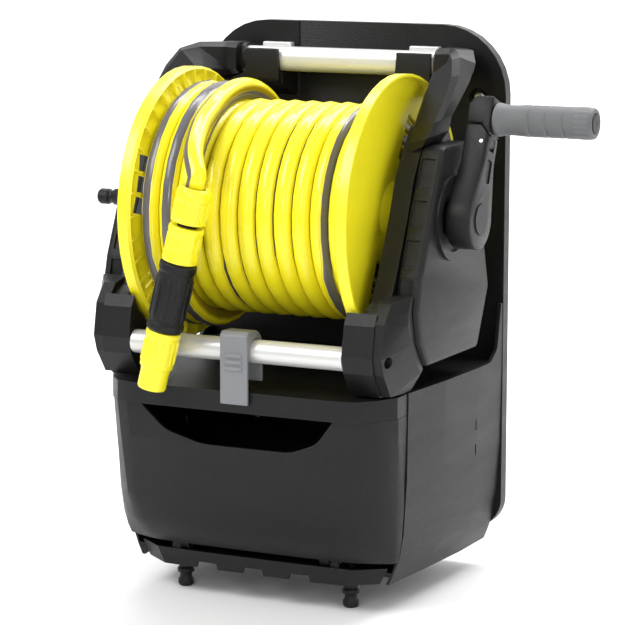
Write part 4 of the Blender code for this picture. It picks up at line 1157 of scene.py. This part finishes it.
class STATION_OT_stage(bpy.types.Operator):
    """Lays the floor and sets the camera, the lights and the surroundings"""

    bl_idname = "station.stage"
    bl_label = "Stage"

    def execute(self, context):
        settings = context.scene.station_stage
        low = CAD_BOX[0][2] - 0.0005
        near, bend, top, half = -7.0, 1.6, 5.0, 7.0
        profile = [(near, low), (bend, low)]
        profile += [
            (bend + math.sin(a) * 1.4, low + (1 - math.cos(a)) * 1.4)
            for a in (math.radians(5 * k) for k in range(1, 19))
        ]
        profile.append((bend + 1.4, top))
        mesh = bpy.data.meshes.new("floor")
        work = bmesh.new()
        rows = [[work.verts.new((x, y, z)) for x in (-half, half)] for y, z in profile]
        for lower, upper in zip(rows, rows[1:]):
            work.faces.new((lower[0], lower[1], upper[1], upper[0])).smooth = True
        work.to_mesh(mesh)
        work.free()
        floor = bpy.data.objects.new("floor", mesh)
        context.scene.collection.objects.link(floor)
        made, tree, shader, place = blank_material("pale_floor")
        cloud = node(tree, "ShaderNodeTexNoise", {"Vector": place.outputs["Object"], "Scale": 3.0})
        tone = mix_colour(
            tree, cloud.outputs["Fac"], tuple(c * 0.985 for c in settings.floor), tuple(settings.floor)
        )
        tree.links.new(tone, shader.inputs["Base Color"])
        shader.inputs["Roughness"].default_value = 0.7
        mesh.materials.append(made)

        world = bpy.data.worlds.new("studio")
        world.use_nodes = True
        world.node_tree.nodes["Background"].inputs["Color"].default_value = (1, 1, 1, 1)
        world.node_tree.nodes["Background"].inputs["Strength"].default_value = settings.sky
        context.scene.world = world
        context.scene.view_settings.view_transform = "Standard"

        middle = (0, -0.13, 0.0)
        area_light("key", (-0.9, -1.5, 1.5), middle, (1.1, 1.1), settings.key)
        area_light("fill", (1.7, -1.2, 0.7), middle, (1.0, 1.4), settings.fill)
        area_light("rim", (0.7, 0.9, 1.5), (0, -0.1, 0.1), (1.0, 0.6), settings.rim)
        area_light("glint", (0.35, -1.9, 0.55), (0, -0.2, 0.1), (0.10, 0.42), settings.glint)
        area_light("sweep", (0, 1.2, 3.4), (0, 2.4, 0.0), (4.0, 1.0), settings.sweep)

        lens = bpy.data.cameras.new("camera")
        lens.lens = 149.93
        lens.sensor_width = 36
        camera = bpy.data.objects.new("camera", lens)
        camera.location = (1.0325, -2.2473, 0.3815)
        camera.rotation_euler = (math.radians(80.27), 0, math.radians(25.69))
        context.scene.collection.objects.link(camera)
        context.scene.camera = camera
        return {"FINISHED"}


# ---------------------------------------------------------------- panel and registration
class STATION_PT_build(bpy.types.Panel):
    """Lists the steps that build the station"""

    bl_idname = "STATION_PT_build"
    bl_label = "Hose Station"
    bl_space_type = "VIEW_3D"
    bl_region_type = "UI"
    bl_category = "Hose Station"

    def draw(self, context):
        for step in STEPS:
            self.layout.operator(step.bl_idname)
        for group in SETTINGS:
            settings = getattr(context.scene, group)
            box = self.layout.box()
            for name in settings.bl_rna.properties.keys():
                if name not in ("rna_type", "name"):
                    box.prop(settings, name)


STEPS = (
    STATION_OT_stage, STATION_OT_panel, STATION_OT_hooks, STATION_OT_bin, STATION_OT_arms,
    STATION_OT_bars, STATION_OT_reel, STATION_OT_crank, STATION_OT_grip, STATION_OT_fittings,
    STATION_OT_guide, STATION_OT_hose,
)
SETTINGS = {
    "station_hose": HoseSettings,
    "station_fittings": FittingSettings,
    "station_finish": FinishSettings,
    "station_stage": StageSettings,
}


def register():
    for group in SETTINGS.values():
        bpy.utils.register_class(group)
    for name, group in SETTINGS.items():
        setattr(bpy.types.Scene, name, PointerProperty(type=group))
    for step in STEPS:
        bpy.utils.register_class(step)
    bpy.utils.register_class(STATION_PT_build)


def unregister():
    bpy.utils.unregister_class(STATION_PT_build)
    for step in reversed(STEPS):
        bpy.utils.unregister_class(step)
    for name, group in reversed(SETTINGS.items()):
        delattr(bpy.types.Scene, name)
        bpy.utils.unregister_class(group)


def main():
    register()
    for step in STEPS:
        getattr(bpy.ops.station, step.bl_idname.removeprefix("station."))()


if __name__ == "__main__":
    main()
